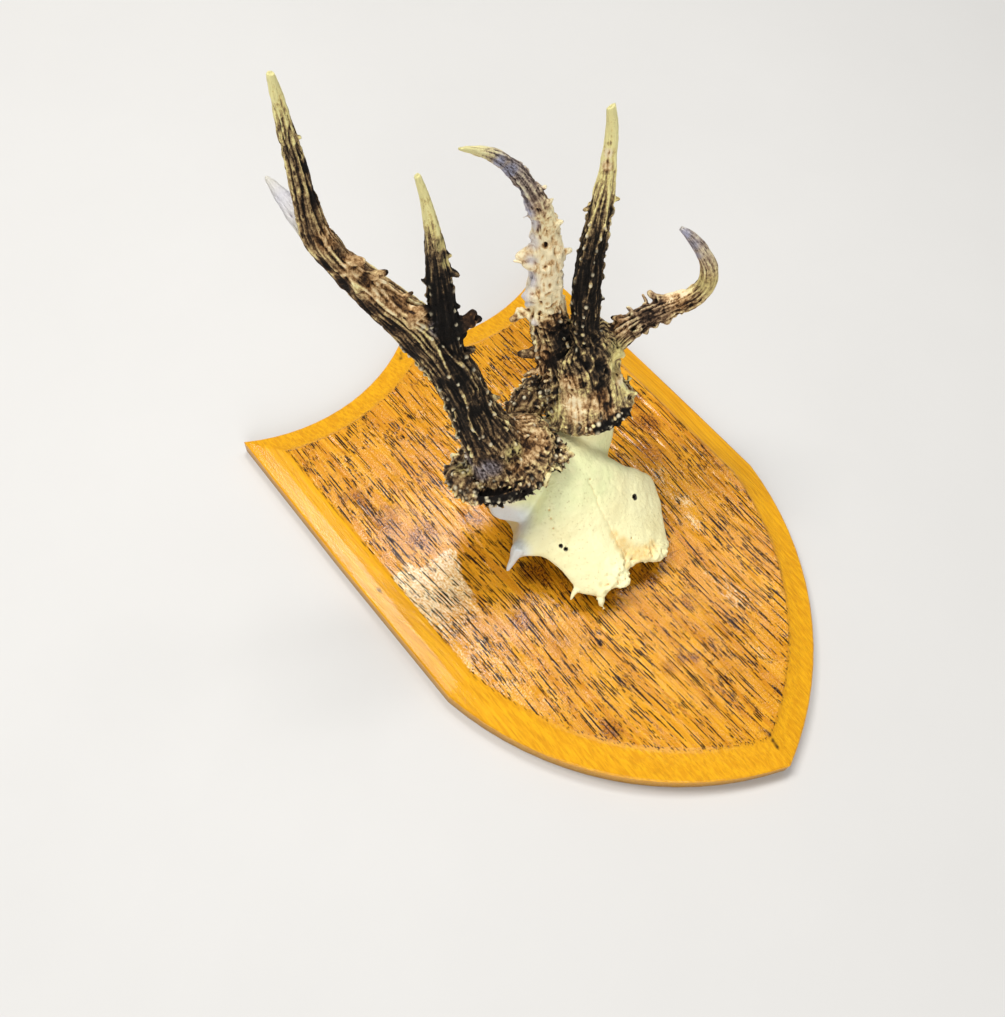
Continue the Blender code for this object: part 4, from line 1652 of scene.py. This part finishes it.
@dataclass
class OakShield:
    """The oak shield: the solid's outline, with a face cut fine enough to carry its grain.

    A spot of painted sheen, or a brown mark, some of them partly painted shadow, is a place on
    the face and a radius, and a dark one, a real mark or painted shade, a centre and a radius.
    The pale patch is bounded by a line that leans down the board through one point and a line
    square to it through another, and by a limit on its left.
    """

    across: float = 0.75
    along: float = 2.4
    face_height: float = 14.5
    # Spots of painted sheen on the right of the face.
    worn: tuple[Row, ...] = ((58, -12, 17), (50, -40, 14), (40, -72, 20), (32, -98, 18))
    # Brown marks; the first three, beside the left coronet, and the last four, under the skull's front edge,
    # are partly painted shadow.
    brown: tuple[Row, ...] = (
        (77, 39, 10), (72, 25, 11), (64, 12, 12), (-7, -82, 5.5), (-13.5, -80.5, 5), (-1, -84, 3.5),
        (-54, -84.5, 7), (-44, -38, 9), (-35, -76, 7), (18, -62, 6), (-53, -19, 7), (-78, 78, 11),
        (-70, 61, 12), (-62, 44, 11), (-36, 38, 9), (-32, -7, 12), (-20, -20, 12), (-9, -34, 10),
        (14, -40, 8),
    )
    # The nail hole and the two chips at the top point are real dark marks; the three spots down the mitre at
    # the bottom point are painted shade in its crease.
    dark: tuple[Row, ...] = (
        (-95.2, 34.5, 10.9, 1.3), (0.6, -131.5, 13.8, 1.8), (0.4, -134.5, 12.8, 1.6),
        (0.3, -137.5, 11.8, 1.3), (-5.1, 139, 10.5, 1.8), (-3, 141.5, 10.2, 1.4),
    )
    patch_lean: float = 0.277
    patch_top: tuple[float, float] = (-83.2, 38.4)
    patch_side: tuple[float, float] = (-54.7, 30.5)
    patch_left: float = -66.0
    line_relief: float = 0.12
    pit_depth: float = 0.5
    sheen_strength: float = 0.48
    squeeze: float = 0.6
    flat_angle: float = 0.5
    smooth_angle: float = 24.0

    def build(self, finish: VarnishedOak) -> bpy.types.Object:
        """Builds, carves, paints and dresses the shield.

        Args:
            finish: The oak's finish.

        Returns:
            The finished piece.
        """
        piece = merged_copy("shield_board", "oak_shield")
        self._cut_grid(piece)
        self._carve(piece)
        self._paint(piece)
        dress(piece, finish.material())
        select_only(piece)
        bpy.ops.object.shade_smooth_by_angle(angle=math.radians(self.smooth_angle))
        return piece

    def _cut_grid(self, piece: bpy.types.Object) -> None:
        """Cuts the face and bevels into a fine grid that follows the grain.

        Args:
            piece: The copied board.
        """
        low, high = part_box("shield_board")
        factor = 1.0
        with editing(piece) as mesh_data:
            bpy.ops.mesh.select_all(action="SELECT")
            bpy.ops.mesh.dissolve_limited(angle_limit=math.radians(self.flat_angle))
            bpy.ops.mesh.select_all(action="DESELECT")
            for face in mesh_data.faces:
                face.select = face.normal.z < 0.5
            bpy.ops.mesh.hide(unselected=False)
            for axis, spacing in ((0, self.across * factor), (1, self.along * factor)):
                count = int((high[axis] - low[axis]) / (spacing * MM))
                normal = Vector((1 - axis, axis, 0))
                for index in range(1, count):
                    place = normal * (low[axis] + index * spacing * MM)
                    bpy.ops.mesh.select_all(action="SELECT")
                    bpy.ops.mesh.bisect(plane_co=place, plane_no=normal, threshold=1e-7)
            bpy.ops.mesh.reveal(select=False)

    def _carve(self, piece: bpy.types.Object) -> None:
        """Presses the grain into the face, deeper on the face than on the bevel.

        Args:
            piece: The board with its grid.
        """
        points = points_of(piece)
        top = smoothstep(normals_of(piece)[:, 2], 0.5, 0.8)
        face = smoothstep(points[:, 2], self.face_height - 1.2, self.face_height - 0.1)
        sway = points[:, 0] + 2.2 * noise(points / (30.0, 45.0, 30.0), 11)
        lines = noise(np.column_stack([sway / 1.5, points[:, 1] / 24.0, points[:, 0] * 0.0]), 12)
        pits = noise(np.column_stack([sway / 1.9, points[:, 1] / 9.0, points[:, 0] * 0.0]), 13)
        depth = self.line_relief * lines - self.pit_depth * np.maximum(pits - 0.35, 0.0)
        depth = depth + 0.12 * noise(points / 22.0, 14) - 0.1
        points[:, 2] += top * depth * (0.25 + 0.75 * face)
        set_points(piece, points)

    def _pale_patch(self, points: Field) -> Field:
        """The pale patch by the left bevel, with two sharp edges, that dies away towards the point.

        Args:
            points: Positions in millimetres.

        Returns:
            How far each point is faded.
        """
        across, along = points[:, 0], points[:, 1]
        (top_x, top_y), (side_x, side_y) = self.patch_top, self.patch_side
        ragged = 2.2 * noise(points / 2.5, 16) + 2.6 * noise(points / 7.0, 17)
        above = top_y - self.patch_lean * (across - top_x) - along + ragged
        beside = np.maximum(side_x + self.patch_lean * (along - side_y), self.patch_left) - across + ragged
        softness = 2.0 + 14.0 * smoothstep(-along, -10.0, 40.0)
        share = np.clip(0.5 + beside / softness, 0.0, 1.0) * smoothstep(above, -1.5, 3.0)
        fading = 0.85 - 0.35 * smoothstep(-along, -12.0, 10.0)
        return share * fading * (1.0 - smoothstep(-along, 40.0, 85.0))

    def _on_face(self, marks: tuple[Row, ...], squeeze: float) -> tuple[Row, ...]:
        """Marks on the face as spots, with their places along the board squeezed."""
        return tuple((x, squeeze * y, self.face_height, radius) for x, y, radius in marks)

    def _paint(self, piece: bpy.types.Object) -> None:
        """Paints the layers that the oak's finish reads.

        Args:
            piece: The carved board.
        """
        points = points_of(piece)
        patchy = 0.75 + 0.9 * noise(points / (5.0, 11.0, 7.0), 15)
        # Painted shade: the sides darken towards the floor.
        base = 1.0 - smoothstep(points[:, 2], 0.5, 5.0)
        face = smoothstep(points[:, 2], self.face_height - 0.9, self.face_height - 0.4)
        squeezed = points * (1.0, self.squeeze, 1.0)
        # Painted sheen, in spots on the right of the face.
        sheen = self.sheen_strength * spots(squeezed, self._on_face(self.worn, self.squeeze)) * patchy
        paint_masks(piece, {
            Paint.BEVEL: 1.0 - smoothstep(points[:, 2], self.face_height - 0.9, self.face_height - 0.45),
            Paint.WORN: np.maximum(sheen, self._pale_patch(points)) * face,
            Paint.STAIN: spots(points, self._on_face(self.brown, 1.0)) * patchy,
            Paint.SHADE: 0.9 * spots(points, self.dark) + 0.55 * base,
        })


# ---------------------------------------------------------------- studio


@dataclass(frozen=True)
class Softbox:
    """A soft square lamp: its place, the point it faces, its size in metres and its power."""

    name: str
    place: Point
    target: Point
    size: float
    power: float
    colour: Colour = (1.0, 1.0, 1.0)

    def build(self) -> None:
        """Hangs the lamp."""
        lamp = bpy.data.lights.new(self.name, "AREA")
        lamp.shape = "SQUARE"
        lamp.size = self.size
        lamp.energy = self.power
        lamp.color = self.colour
        holder = bpy.data.objects.new(self.name, lamp)
        bpy.context.scene.collection.objects.link(holder)
        holder.location = self.place
        holder.rotation_euler = (Vector(self.target) - Vector(self.place)).to_track_quat("-Z", "Y").to_euler()


@dataclass(frozen=True)
class Studio:
    """Floor, lamps and camera."""

    eye: Point = (-0.19482, -0.13202, 0.45229)
    turn: tuple[Point, Point, Point] = (
        (0.769048, 0.536508, -0.347453),
        (-0.635751, 0.698344, -0.32884),
        (0.066216, 0.473788, 0.878146),
    )
    lens: float = 35.811
    sensor_width: float = 36.0
    clip_start: float = 0.01
    floor_size: float = 6.0
    ambient: float = 0.25
    lamps: tuple[Softbox, ...] = (
        Softbox("key", (-0.45, 0.75, 1.7), (0.0, 0.0, 0.05), 0.55, 22.0, (1.0, 0.985, 0.96)),
        Softbox("overhead", (0.30, 0.46, 1.35), (-0.05, 0.0, 0.0), 0.32, 7.5),
        Softbox("side_panel", (0.72, 0.12, 1.33), (0.0, 0.0, 0.0), 0.26, 1.8),
        Softbox("fill", (-1.0, -1.4, 1.0), (0.0, 0.0, 0.08), 1.4, 24.0, (0.98, 0.985, 1.0)),
    )

    def build(self, finish: PaleFloor) -> None:
        """Sets the floor, the lamps and the camera.

        Args:
            finish: The floor's finish.
        """
        bpy.context.scene.view_settings.view_transform = "Standard"
        self._floor(finish)
        for lamp in self.lamps:
            lamp.build()
        self._world()
        self._camera()

    def _floor(self, finish: PaleFloor) -> None:
        """Lays the floor under the object.

        Args:
            finish: The floor's finish.
        """
        low, _ = CAD_BOX
        bpy.ops.mesh.primitive_plane_add(size=self.floor_size, location=(0.0, 0.0, low[2]))
        floor = bpy.context.object
        floor.name = "pale_floor"
        floor.data.transform(floor.matrix_world)
        floor.matrix_world = Matrix.Identity(4)
        floor.data.materials.append(finish.material())

    def _world(self) -> None:
        """Fills the room with even light."""
        world = bpy.data.worlds.new("room")
        world.use_nodes = True
        background = world.node_tree.nodes["Background"]
        background.inputs["Color"].default_value = (1.0, 1.0, 1.0, 1.0)
        background.inputs["Strength"].default_value = self.ambient
        bpy.context.scene.world = world

    def _camera(self) -> None:
        """Stands the camera at its viewing angle."""
        camera = bpy.data.cameras.new("camera")
        camera.sensor_fit = "HORIZONTAL"
        camera.sensor_width = self.sensor_width
        camera.lens = self.lens
        camera.clip_start = self.clip_start
        holder = bpy.data.objects.new("camera", camera)
        bpy.context.scene.collection.objects.link(holder)
        place = Matrix(self.turn).to_4x4()
        place.translation = self.eye
        holder.matrix_world = place
        bpy.context.scene.camera = holder


# ---------------------------------------------------------------- the two antlers' sizes


def right_antler() -> Antler:
    """The buck's right antler: a pearled beam with a front, a rear and a top tine.

    Returns:
        The antler, not yet built.
    """
    beam = Branch(
        stations=(
            (-28, 27, 67, 21, 16.5), (-28, 27.6, 68.6, 25.6, 20.2), (-28, 28.4, 71.6, 26.8, 21.4),
            (-28.6, 29.4, 75.6, 24.5, 19), (-30.4, 30.6, 81, 17.5, 15), (-34, 32.8, 91, 12.3, 11.8),
            (-39, 39.7, 108, 9.9, 9.8), (-43.9, 48.6, 131, 9.3, 9.2), (-52, 58.4, 151, 8.6, 8.4),
            (-62.8, 68.8, 169, 7, 6.8), (-71.7, 77.7, 184, 5.7, 5.7), (-76.1, 83.3, 195, 5.2, 5.2),
            (-76.9, 87, 208, 4.2, 4.2), (-76.8, 90, 221, 3.4, 3.4), (-77.8, 91, 236, 2.5, 2.5),
            (-78.8, 91.7, 248, 2, 2), (-79.5, 91.8, 255.4, 1.2, 1.2),
        ),
        tone=(0.48, 0.52, 0.34, 0.25, 0.23, 0.26, 0.36, 0.46, 0.5, 0.46, 0.42, 0.38, 0.38, 0.42, 0.72, 1),
        furrow=(0.4, 0.5, 0.8, 0.8, 0.9, 0.9, 0.8, 0.8, 0.9, 0.9, 0.1),
        gnarl=(1.25, 0.35, 0.15, 0.15, 0.3, 0.3, 0.15, 0.1, 0),
        rust=(0.3, 0.25, 0, 0, 0.1, 0.3, 0.35, 0.2, 0, 0),
        pearl_rows=9,
        pearl_reach=0.47,
        level_stations=3,
        columns=40,
    )
    front = Branch(
        stations=(
            (-44, 51.5, 142, 6.4, 6.4), (-44.2, 54.1, 158, 5.7, 5.7), (-44, 56.2, 169, 4.8, 4.8),
            (-44.1, 58.3, 183, 4, 4), (-44.8, 60.4, 198, 2.9, 2.9), (-46.4, 62, 211, 1.9, 1.9),
            (-49.2, 62.6, 222.9, 1.2, 1.2),
        ),
        tone=(0.02, -0.1, -0.14, -0.08, 0.04, 0.26, 0.58, 0.86, 0.94, 1),
        furrow=(0.9, 0.8, 0.7, 0.45, 0.15, 0.1),
        gnarl=(0.4, 0.4, 0.25, 0.05, 0),
        pearl_rows=5,
        pearl_reach=0.45,
    )
    rear = Branch(
        stations=(
            (-75.5, 84, 190.5, 4.4, 4.4), (-76, 91.5, 194, 4, 4), (-76.6, 100, 197, 3.2, 3.2),
            (-77, 107, 199.2, 1.9, 1.9), (-77.3, 111.5, 200.2, 0.6, 0.6),
        ),
        tone=(0.6, 0.9, 1, 1),
        furrow=(0.6, 0.4, 0.15),
        gnarl=(0.3, 0.2, 0.1),
        # Partly painted shade: the rear tine's bluish cast, lit only by the sky.
        lilac=(0.1, 0.7, 0.8, 0.6),
    )
    return Antler(
        name="right_antler",
        nodes=("right_antler_base", "right_front_tine", "right_upper_beam", "right_rear_tine",
               "right_top_tine"),
        branches=(beam, front, rear),
        knobs=(
            (-70.3, 74.3, 186.6, -66, 70.2, 187.8, 2), (-65.8, 70.1, 180.2, -59.6, 66.2, 182, 1.7),
            (-62.7, 67.6, 176.8, -60.8, 65.6, 177, 1.2), (-57.3, 62.3, 168.9, -52.6, 61.3, 171, 1.2),
            (-77, 88.8, 232.5, -74.6, 87.4, 233.1, 1), (-70.7, 69.4, 177.6, -72.6, 70.4, 181.6, 1.6),
            (-57.9, 58.3, 163.1, -50, 55.4, 166.4, 2.8), (-54, 56, 158, -47.5, 53, 160.5, 2.4),
            (-40.1, 46.8, 140.2, -35.6, 45, 141.8, 1.6), (-32.5, 38.5, 116.2, -29.2, 34.2, 115.6, 1.2),
            (-47.7, 57.6, 175.7, -49.6, 60.6, 176.3, 1), (-41.6, 57.4, 187, -39.9, 55.3, 186.9, 1),
            (-41.7, 55.5, 179.7, -39.4, 51.6, 179.3, 1.5), (-40.4, 52.6, 164, -39.4, 50.4, 163.6, 1.1),
            (-41.6, 49.8, 155, -36.6, 47.6, 156.4, 3), (-37.8, 48.2, 156, -33.4, 48.6, 159.2, 2.2),
            (-36.6, 47.6, 156.6, -32, 46.2, 155, 2), (-43, 50.5, 147, -36.4, 49.8, 148.4, 2.6),
        ),
        swellings=((-3, 44, 73.5, 8.5, 8, 8.5), (-10.5, 17.5, 73, 8, 7, 4.6), (-50.5, 31, 73.5, 5, 9, 5)),
        dents=((-17, 10.5, 71.5, 8, 5),),
        pits=((-35, 46.6, 157.6, 1.6),),
        dark_spots=(
            (-79, 78, 186, 5), (-75, 74, 179, 5.5), (-70, 69, 167, 7), (-64, 62, 158, 8), (-60, 56, 149, 8),
            (-47, 42, 133, 5), (-43, 33, 118, 4), (-74, 87, 222, 3.5), (-74, 84, 212, 4.5),
            (-59.6, 66.2, 182, 3.2), (-52.6, 61.3, 171, 2.6), (-50.4, 61, 176.4, 2.4),
        ),
        soot_spots=(
            (-44.2, 13.4, 76, 5.5), (-39.1, 10.1, 76, 6), (-32.9, 7.6, 76, 5.5), (-48, 18, 76, 5),
            (-26.5, 7.2, 76, 3.5),
        ),
        pale_spots=(
            (-55, 57, 163, 6), (-38, 48, 157, 6), (-72, 70, 179, 3), (-43.8, 58, 199, 3.4),
            (-43.1, 56.3, 192, 3.2), (-42.7, 55, 185, 2.8), (-42.3, 53.6, 178, 2.2),
        ),
        lilac_spots=((-42, 23, 87, 7), (-45, 26, 82, 6), (-48, 52, 158, 6), (-46, 34, 84, 6)),
        olive_spots=((-46, 34, 77, 7), (-31, 20, 92, 7), (-43.2, 56.5, 194, 4), (-42.6, 54.8, 186, 3.4)),
        rust_spots=(
            (-75, 79, 197, 6), (-70, 72, 186, 7), (-64, 66, 177, 8), (-60, 61, 171, 7), (-55, 57, 164, 7),
            (-22, 28, 92, 9), (-23, 20, 88, 9), (-16, 22, 85, 8), (-31, 17, 87, 7), (-37, 48, 157, 6),
            (-14, 33, 87, 7),
        ),
        seed=21,
        rim_pearls=66,
    )


def left_antler() -> Antler:
    """The buck's left antler: a broad twisted base with a front, a middle and an outer tine.

    Returns:
        The antler, not yet built.
    """
    base = Branch(
        stations=(
            (24, 27, 67, 16.5, 13.5), (24, 27.6, 68.6, 20.6, 17), (24, 28.4, 71.6, 21.8, 18),
            (24.4, 29.6, 75.6, 20.4, 16), (25.5, 31.5, 81, 19.5, 13.5), (25.5, 34.5, 90, 18.5, 12),
            (24, 38, 99, 17.5, 11), (21.5, 42, 107, 14, 9.5),
        ),
        tone=(0.6, 0.7, 0.7, 0.62, 0.48, 0.38),
        furrow=(0.4, 0.65, 0.8, 1),
        gnarl=(0.5, 0.3, 0.7, 1),
        level_stations=3,
        columns=40,
    )
    front = Branch(
        stations=(
            (22.5, 35.5, 96, 7.2, 7.2), (23.4, 40.4, 111, 6.2, 6.2), (24.2, 44.5, 130, 5.8, 5.8),
            (26.9, 48.7, 150, 5.1, 5.1), (31.2, 52, 170, 4.3, 4.3), (34, 55.1, 188, 3.1, 3.1),
            (34.2, 57.3, 204, 2.6, 2.1), (32.3, 57.8, 213.6, 2.1, 1),
        ),
        tone=(0.4, 0.16, 0.06, 0.05, 0.1, 0.18, 0.34, 0.64, 0.92, 1.02, 1.06),
        furrow=(1, 1, 0.9, 0.8, 0.6, 0.3, 0.1),
        gnarl=(0.6, 0.4, 0.3, 0.2, 0),
        pearl_rows=6,
        pearl_reach=0.66,
    )
    middle = Branch(
        stations=(
            (14.7, 45, 94, 9.8, 9), (13.4, 51.2, 110, 8.8, 8.2), (12.6, 57, 127, 7.7, 7.4),
            (14.6, 61.2, 146, 6.8, 6.6), (15.6, 66, 160, 5.4, 5.4), (12.1, 70.4, 173, 4.2, 4.2),
            (6.5, 74.2, 184, 3.4, 3.4), (-2.1, 77.2, 194, 2.7, 2.7), (-11.1, 78.6, 201, 1.8, 1.8),
            (-19.1, 78.8, 206, 0.6, 0.6),
        ),
        tone=(0.32, 0.34, 0.54, 0.88, 0.94, 0.94, 0.9, 0.78, 0.52, 0.4, 0.5, 0.8, 0.96),
        furrow=(1.1, 1, 0.3, 0.2, 0.25, 0.8, 0.6, 0.15),
        gnarl=(1, 1.2, 1.3, 1.1, 0.8, 0.25, 0.1),
        lilac=(0, 0, 0, 0, 0, 0, 0.3, 0.45, 0.2, 0),
        rust=(0.2, 0.2, 0.8, 1, 1, 0.8, 0.3, 0.2, 0, 0),
        pearl_rows=4,
        pearl_reach=0.25,
    )
    outer = Branch(
        stations=(
            (33, 37.5, 95, 7.6, 7.2), (43.9, 33.6, 106, 6.2, 6), (52.5, 29.9, 113, 4.9, 4.9),
            (61.7, 25.2, 117, 4.6, 4.6), (69.6, 22.6, 120, 4.5, 4.5), (74.2, 21.4, 127, 4.2, 4.2),
            (73.6, 22.6, 136, 3.6, 3.6), (69.8, 26.4, 145, 3, 3), (65.4, 30.6, 152, 2.2, 2.2),
            (61.4, 33.9, 156.4, 1, 1),
        ),
        tone=(0.5, 0.48, 0.42, 0.4, 0.48, 0.58, 0.64, 0.66, 0.62, 0.68),
        furrow=(0.9, 0.9, 0.7, 0.6, 0.4, 0.25, 0.1),
        gnarl=(1, 0.9, 0.6, 0.3, 0.1, 0),
        # Partly painted shade: the bluish hook of the outer tine, on its side lit only by the sky.
        lilac=(0, 0, 0.1, 0.1, 0, 0, 0, 0.2, 0.4, 0.5),
        rust=(0.2, 0.4, 0.4, 0.5, 0.5, 0.3, 0.2, 0.4, 0.4, 0.1),
    )
    return Antler(
        name="left_antler",
        nodes=("left_antler_base", "left_front_tine", "left_middle_tine", "left_outer_tine"),
        branches=(base, front, middle, outer),
        knobs=(
            (12.3, 68.7, 177.5, 15.4, 67.6, 178.6, 0.9), (14.5, 66.2, 171.4, 17.7, 65.2, 172.8, 1.1),
            (17.3, 61.9, 161.6, 20.6, 60.4, 162.8, 1.1), (19.4, 58, 146.3, 24, 56.8, 147.8, 1.7),
            (10, 62.9, 150.3, 2.6, 65.6, 149, 2.4), (11, 62, 145, 4.6, 65, 145.5, 2.2),
            (9.9, 65, 141, 4.9, 70.8, 141.3, 0.8), (7.2, 57.3, 132.4, 1.6, 59, 131.8, 2.6),
            (8, 56.6, 128, 2.6, 57, 127, 2.4), (7, 54.6, 121.5, 0.3, 60.2, 123.2, 2.2),
            (1.2, 58.6, 123, -3.4, 59.6, 119.4, 1.8), (6.7, 52.6, 123.4, 1.9, 51.4, 121.2, 2),
            (10.5, 69.6, 165.2, 7.6, 70.4, 164.2, 0.8), (34.4, 50.4, 174.7, 36.9, 48.2, 174.8, 1.1),
            (28.7, 54.6, 170, 25.4, 56.2, 169.2, 1.1), (28.8, 47.6, 166, 28.8, 45, 165.2, 1),
            (28, 41.2, 130.4, 29.8, 38.9, 130.1, 1.1), (25.7, 36.9, 116.4, 23.6, 32.9, 114.4, 1.4),
            (6.4, 49.6, 100.7, -1.2, 55.2, 100.2, 2.4), (7, 48.5, 92, 1.9, 48.8, 90, 1.6),
            (6.6, 45.4, 93.1, -2.4, 48.9, 91.4, 1.7), (57.8, 30.4, 117.3, 56, 36.8, 119.4, 1.9),
            (52.9, 33.6, 115.2, 54, 38.2, 117.4, 0.9), (51.9, 27, 111.6, 51.2, 24, 110.6, 2.3),
            (56.2, 25, 113.8, 56.6, 21.8, 112, 2.2), (62.7, 22.4, 117.7, 62.2, 20, 116.2, 2.3),
            (44, 29, 108.8, 43.4, 26.2, 107.6, 2.6), (41.9, 36.8, 109.5, 38.8, 41, 110.6, 1.5),
            (46.5, 34.3, 113.4, 45, 38.2, 115.2, 1.2), (48.6, 28.2, 108.6, 47.6, 25.8, 106.8, 1.7),
            (33, 30, 101, 37.5, 26, 98, 2.6), (55.5, 31.2, 118.6, 67.5, 25.6, 122.6, 1.9),
            (36, 20, 80, 39.6, 16, 80.6, 1.6),
        ),
        swellings=((6, 46, 74, 8, 8.5, 8.5), (9.5, 40.5, 84, 6, 6, 8.5)),
        dents=((43.5, 29, 84, 13, 4.6), (33.5, 24.5, 95, 7, 2.6), (22, 26, 104, 5, 1.8)),
        pits=(
            (11.4, 60, 155.2, 1.9), (8, 61.5, 139.5, 2.4), (24.9, 26, 98.5, 1.6), (57.5, 27.5, 115.5, 2.4),
            (13, 57, 147, 1),
        ),
        dark_spots=(
            (9, 44, 102, 6), (17, 31, 104, 4), (24.9, 26, 98.5, 3), (13, 27, 96, 3), (11, 48, 118, 8),
            (14, 46, 110, 8), (-3, 60, 121, 5), (-2, 56, 100, 4), (50, 29, 113, 6), (20, 48, 135, 6),
            (21.6, 27.2, 98.8, 6), (21.5, 24.4, 93, 6.5), (21.6, 22, 88, 6.5), (22, 19.4, 83.2, 5.5),
            (22, 16.9, 79, 4.5), (51.7, 21, 109.2, 3.4), (55.6, 18.6, 111, 3.4), (62.3, 17.8, 117.6, 2.8),
            (42.4, 23.6, 106.6, 3.4), (47.6, 24, 105.6, 3), (57, 27, 115.6, 3), (61, 25, 116.6, 3),
            (38.8, 41, 110.6, 3), (31.9, 55, 199, 1.5), (31.4, 54, 195.5, 1.7), (31, 53.4, 192, 1.9),
            (30.6, 52.6, 188, 2.1),
        ),
        soot_spots=(
            (15.3, 14.3, 75.5, 4.5), (18.2, 11.6, 76, 6), (23, 10.4, 76.5, 6.5), (28.9, 10.8, 76.5, 5.5),
            (21.5, 24.6, 93, 3),
        ),
        pale_spots=((60, 29, 121.5, 5), (66, 25.5, 123.5, 5), (33, 26, 100, 7), (38, 22, 84, 9)),
        # The middle tine's spots, and the last three on the outer tine's hook, are partly painted shade: a
        # bluish cast where only the sky lights a shaded side.
        lilac_spots=(
            (8, 70, 172, 4), (6, 73, 177, 4.5), (1, 74, 189, 4.5), (-3, 75, 194, 4), (10.1, 67.4, 161.8, 5),
            (9.2, 69.5, 167.5, 4.8), (9.2, 65.2, 155, 5), (7.8, 63, 148.2, 4.6), (3, 60, 131, 7),
            (5, 61, 139, 7), (2, 52, 121, 4), (18, 56, 138, 4), (65, 29, 149, 4.5), (68, 27, 144, 4),
            (62, 32, 154, 4),
        ),
        olive_spots=((33, 28, 104, 7), (32, 24, 94, 6), (42, 28, 88, 7), (74, 20, 128, 7), (10, 34, 84, 5)),
        rust_spots=(
            (8, 27, 87, 8), (8, 23, 82, 7), (12, 24, 86, 6), (9, 31, 96, 7), (5, 47, 104, 7),
            (5, 46, 93, 8), (19, 20, 87, 8), (40, 35, 110, 6), (22, 17, 80, 6), (13, 18, 76, 7),
            (33, 22, 90, 5), (40, 22, 78, 5), (31.5, 54.5, 195, 3), (31, 53.5, 190, 3.4), (62, 26, 121, 7),
        ),
        rim_gaps=((182, 226), (292, 352)),
        seed=43,
        rim_pearls=56,
    )


def main() -> None:
    """Builds every piece in order and reports each one."""
    logging.basicConfig(level=logging.INFO, format="%(message)s")
    effects = SharedEffects.build()
    Studio().build(PaleFloor("pale_floor", effects))
    oak = VarnishedOak("varnished_oak_finish", effects)
    bone = BleachedBone("bleached_bone_finish", effects)
    horn = AntlerHorn("antler_finish", effects)
    pieces = (
        (OakShield().build(oak), Slot.OAK, ("shield_board",)),
        (SkullCap().build(bone), Slot.BONE, ("skull_cap",)),
        *((antler.build(horn), Slot.ANTLER, antler.nodes) for antler in (right_antler(), left_antler())),
    )
    for piece, slot, nodes in pieces:
        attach(piece, BODY)
        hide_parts(*nodes)
        LOG.info("%s: %d faces for %s", piece.name, len(piece.data.polygons), ", ".join(nodes))


if __name__ == "__main__":
    main()
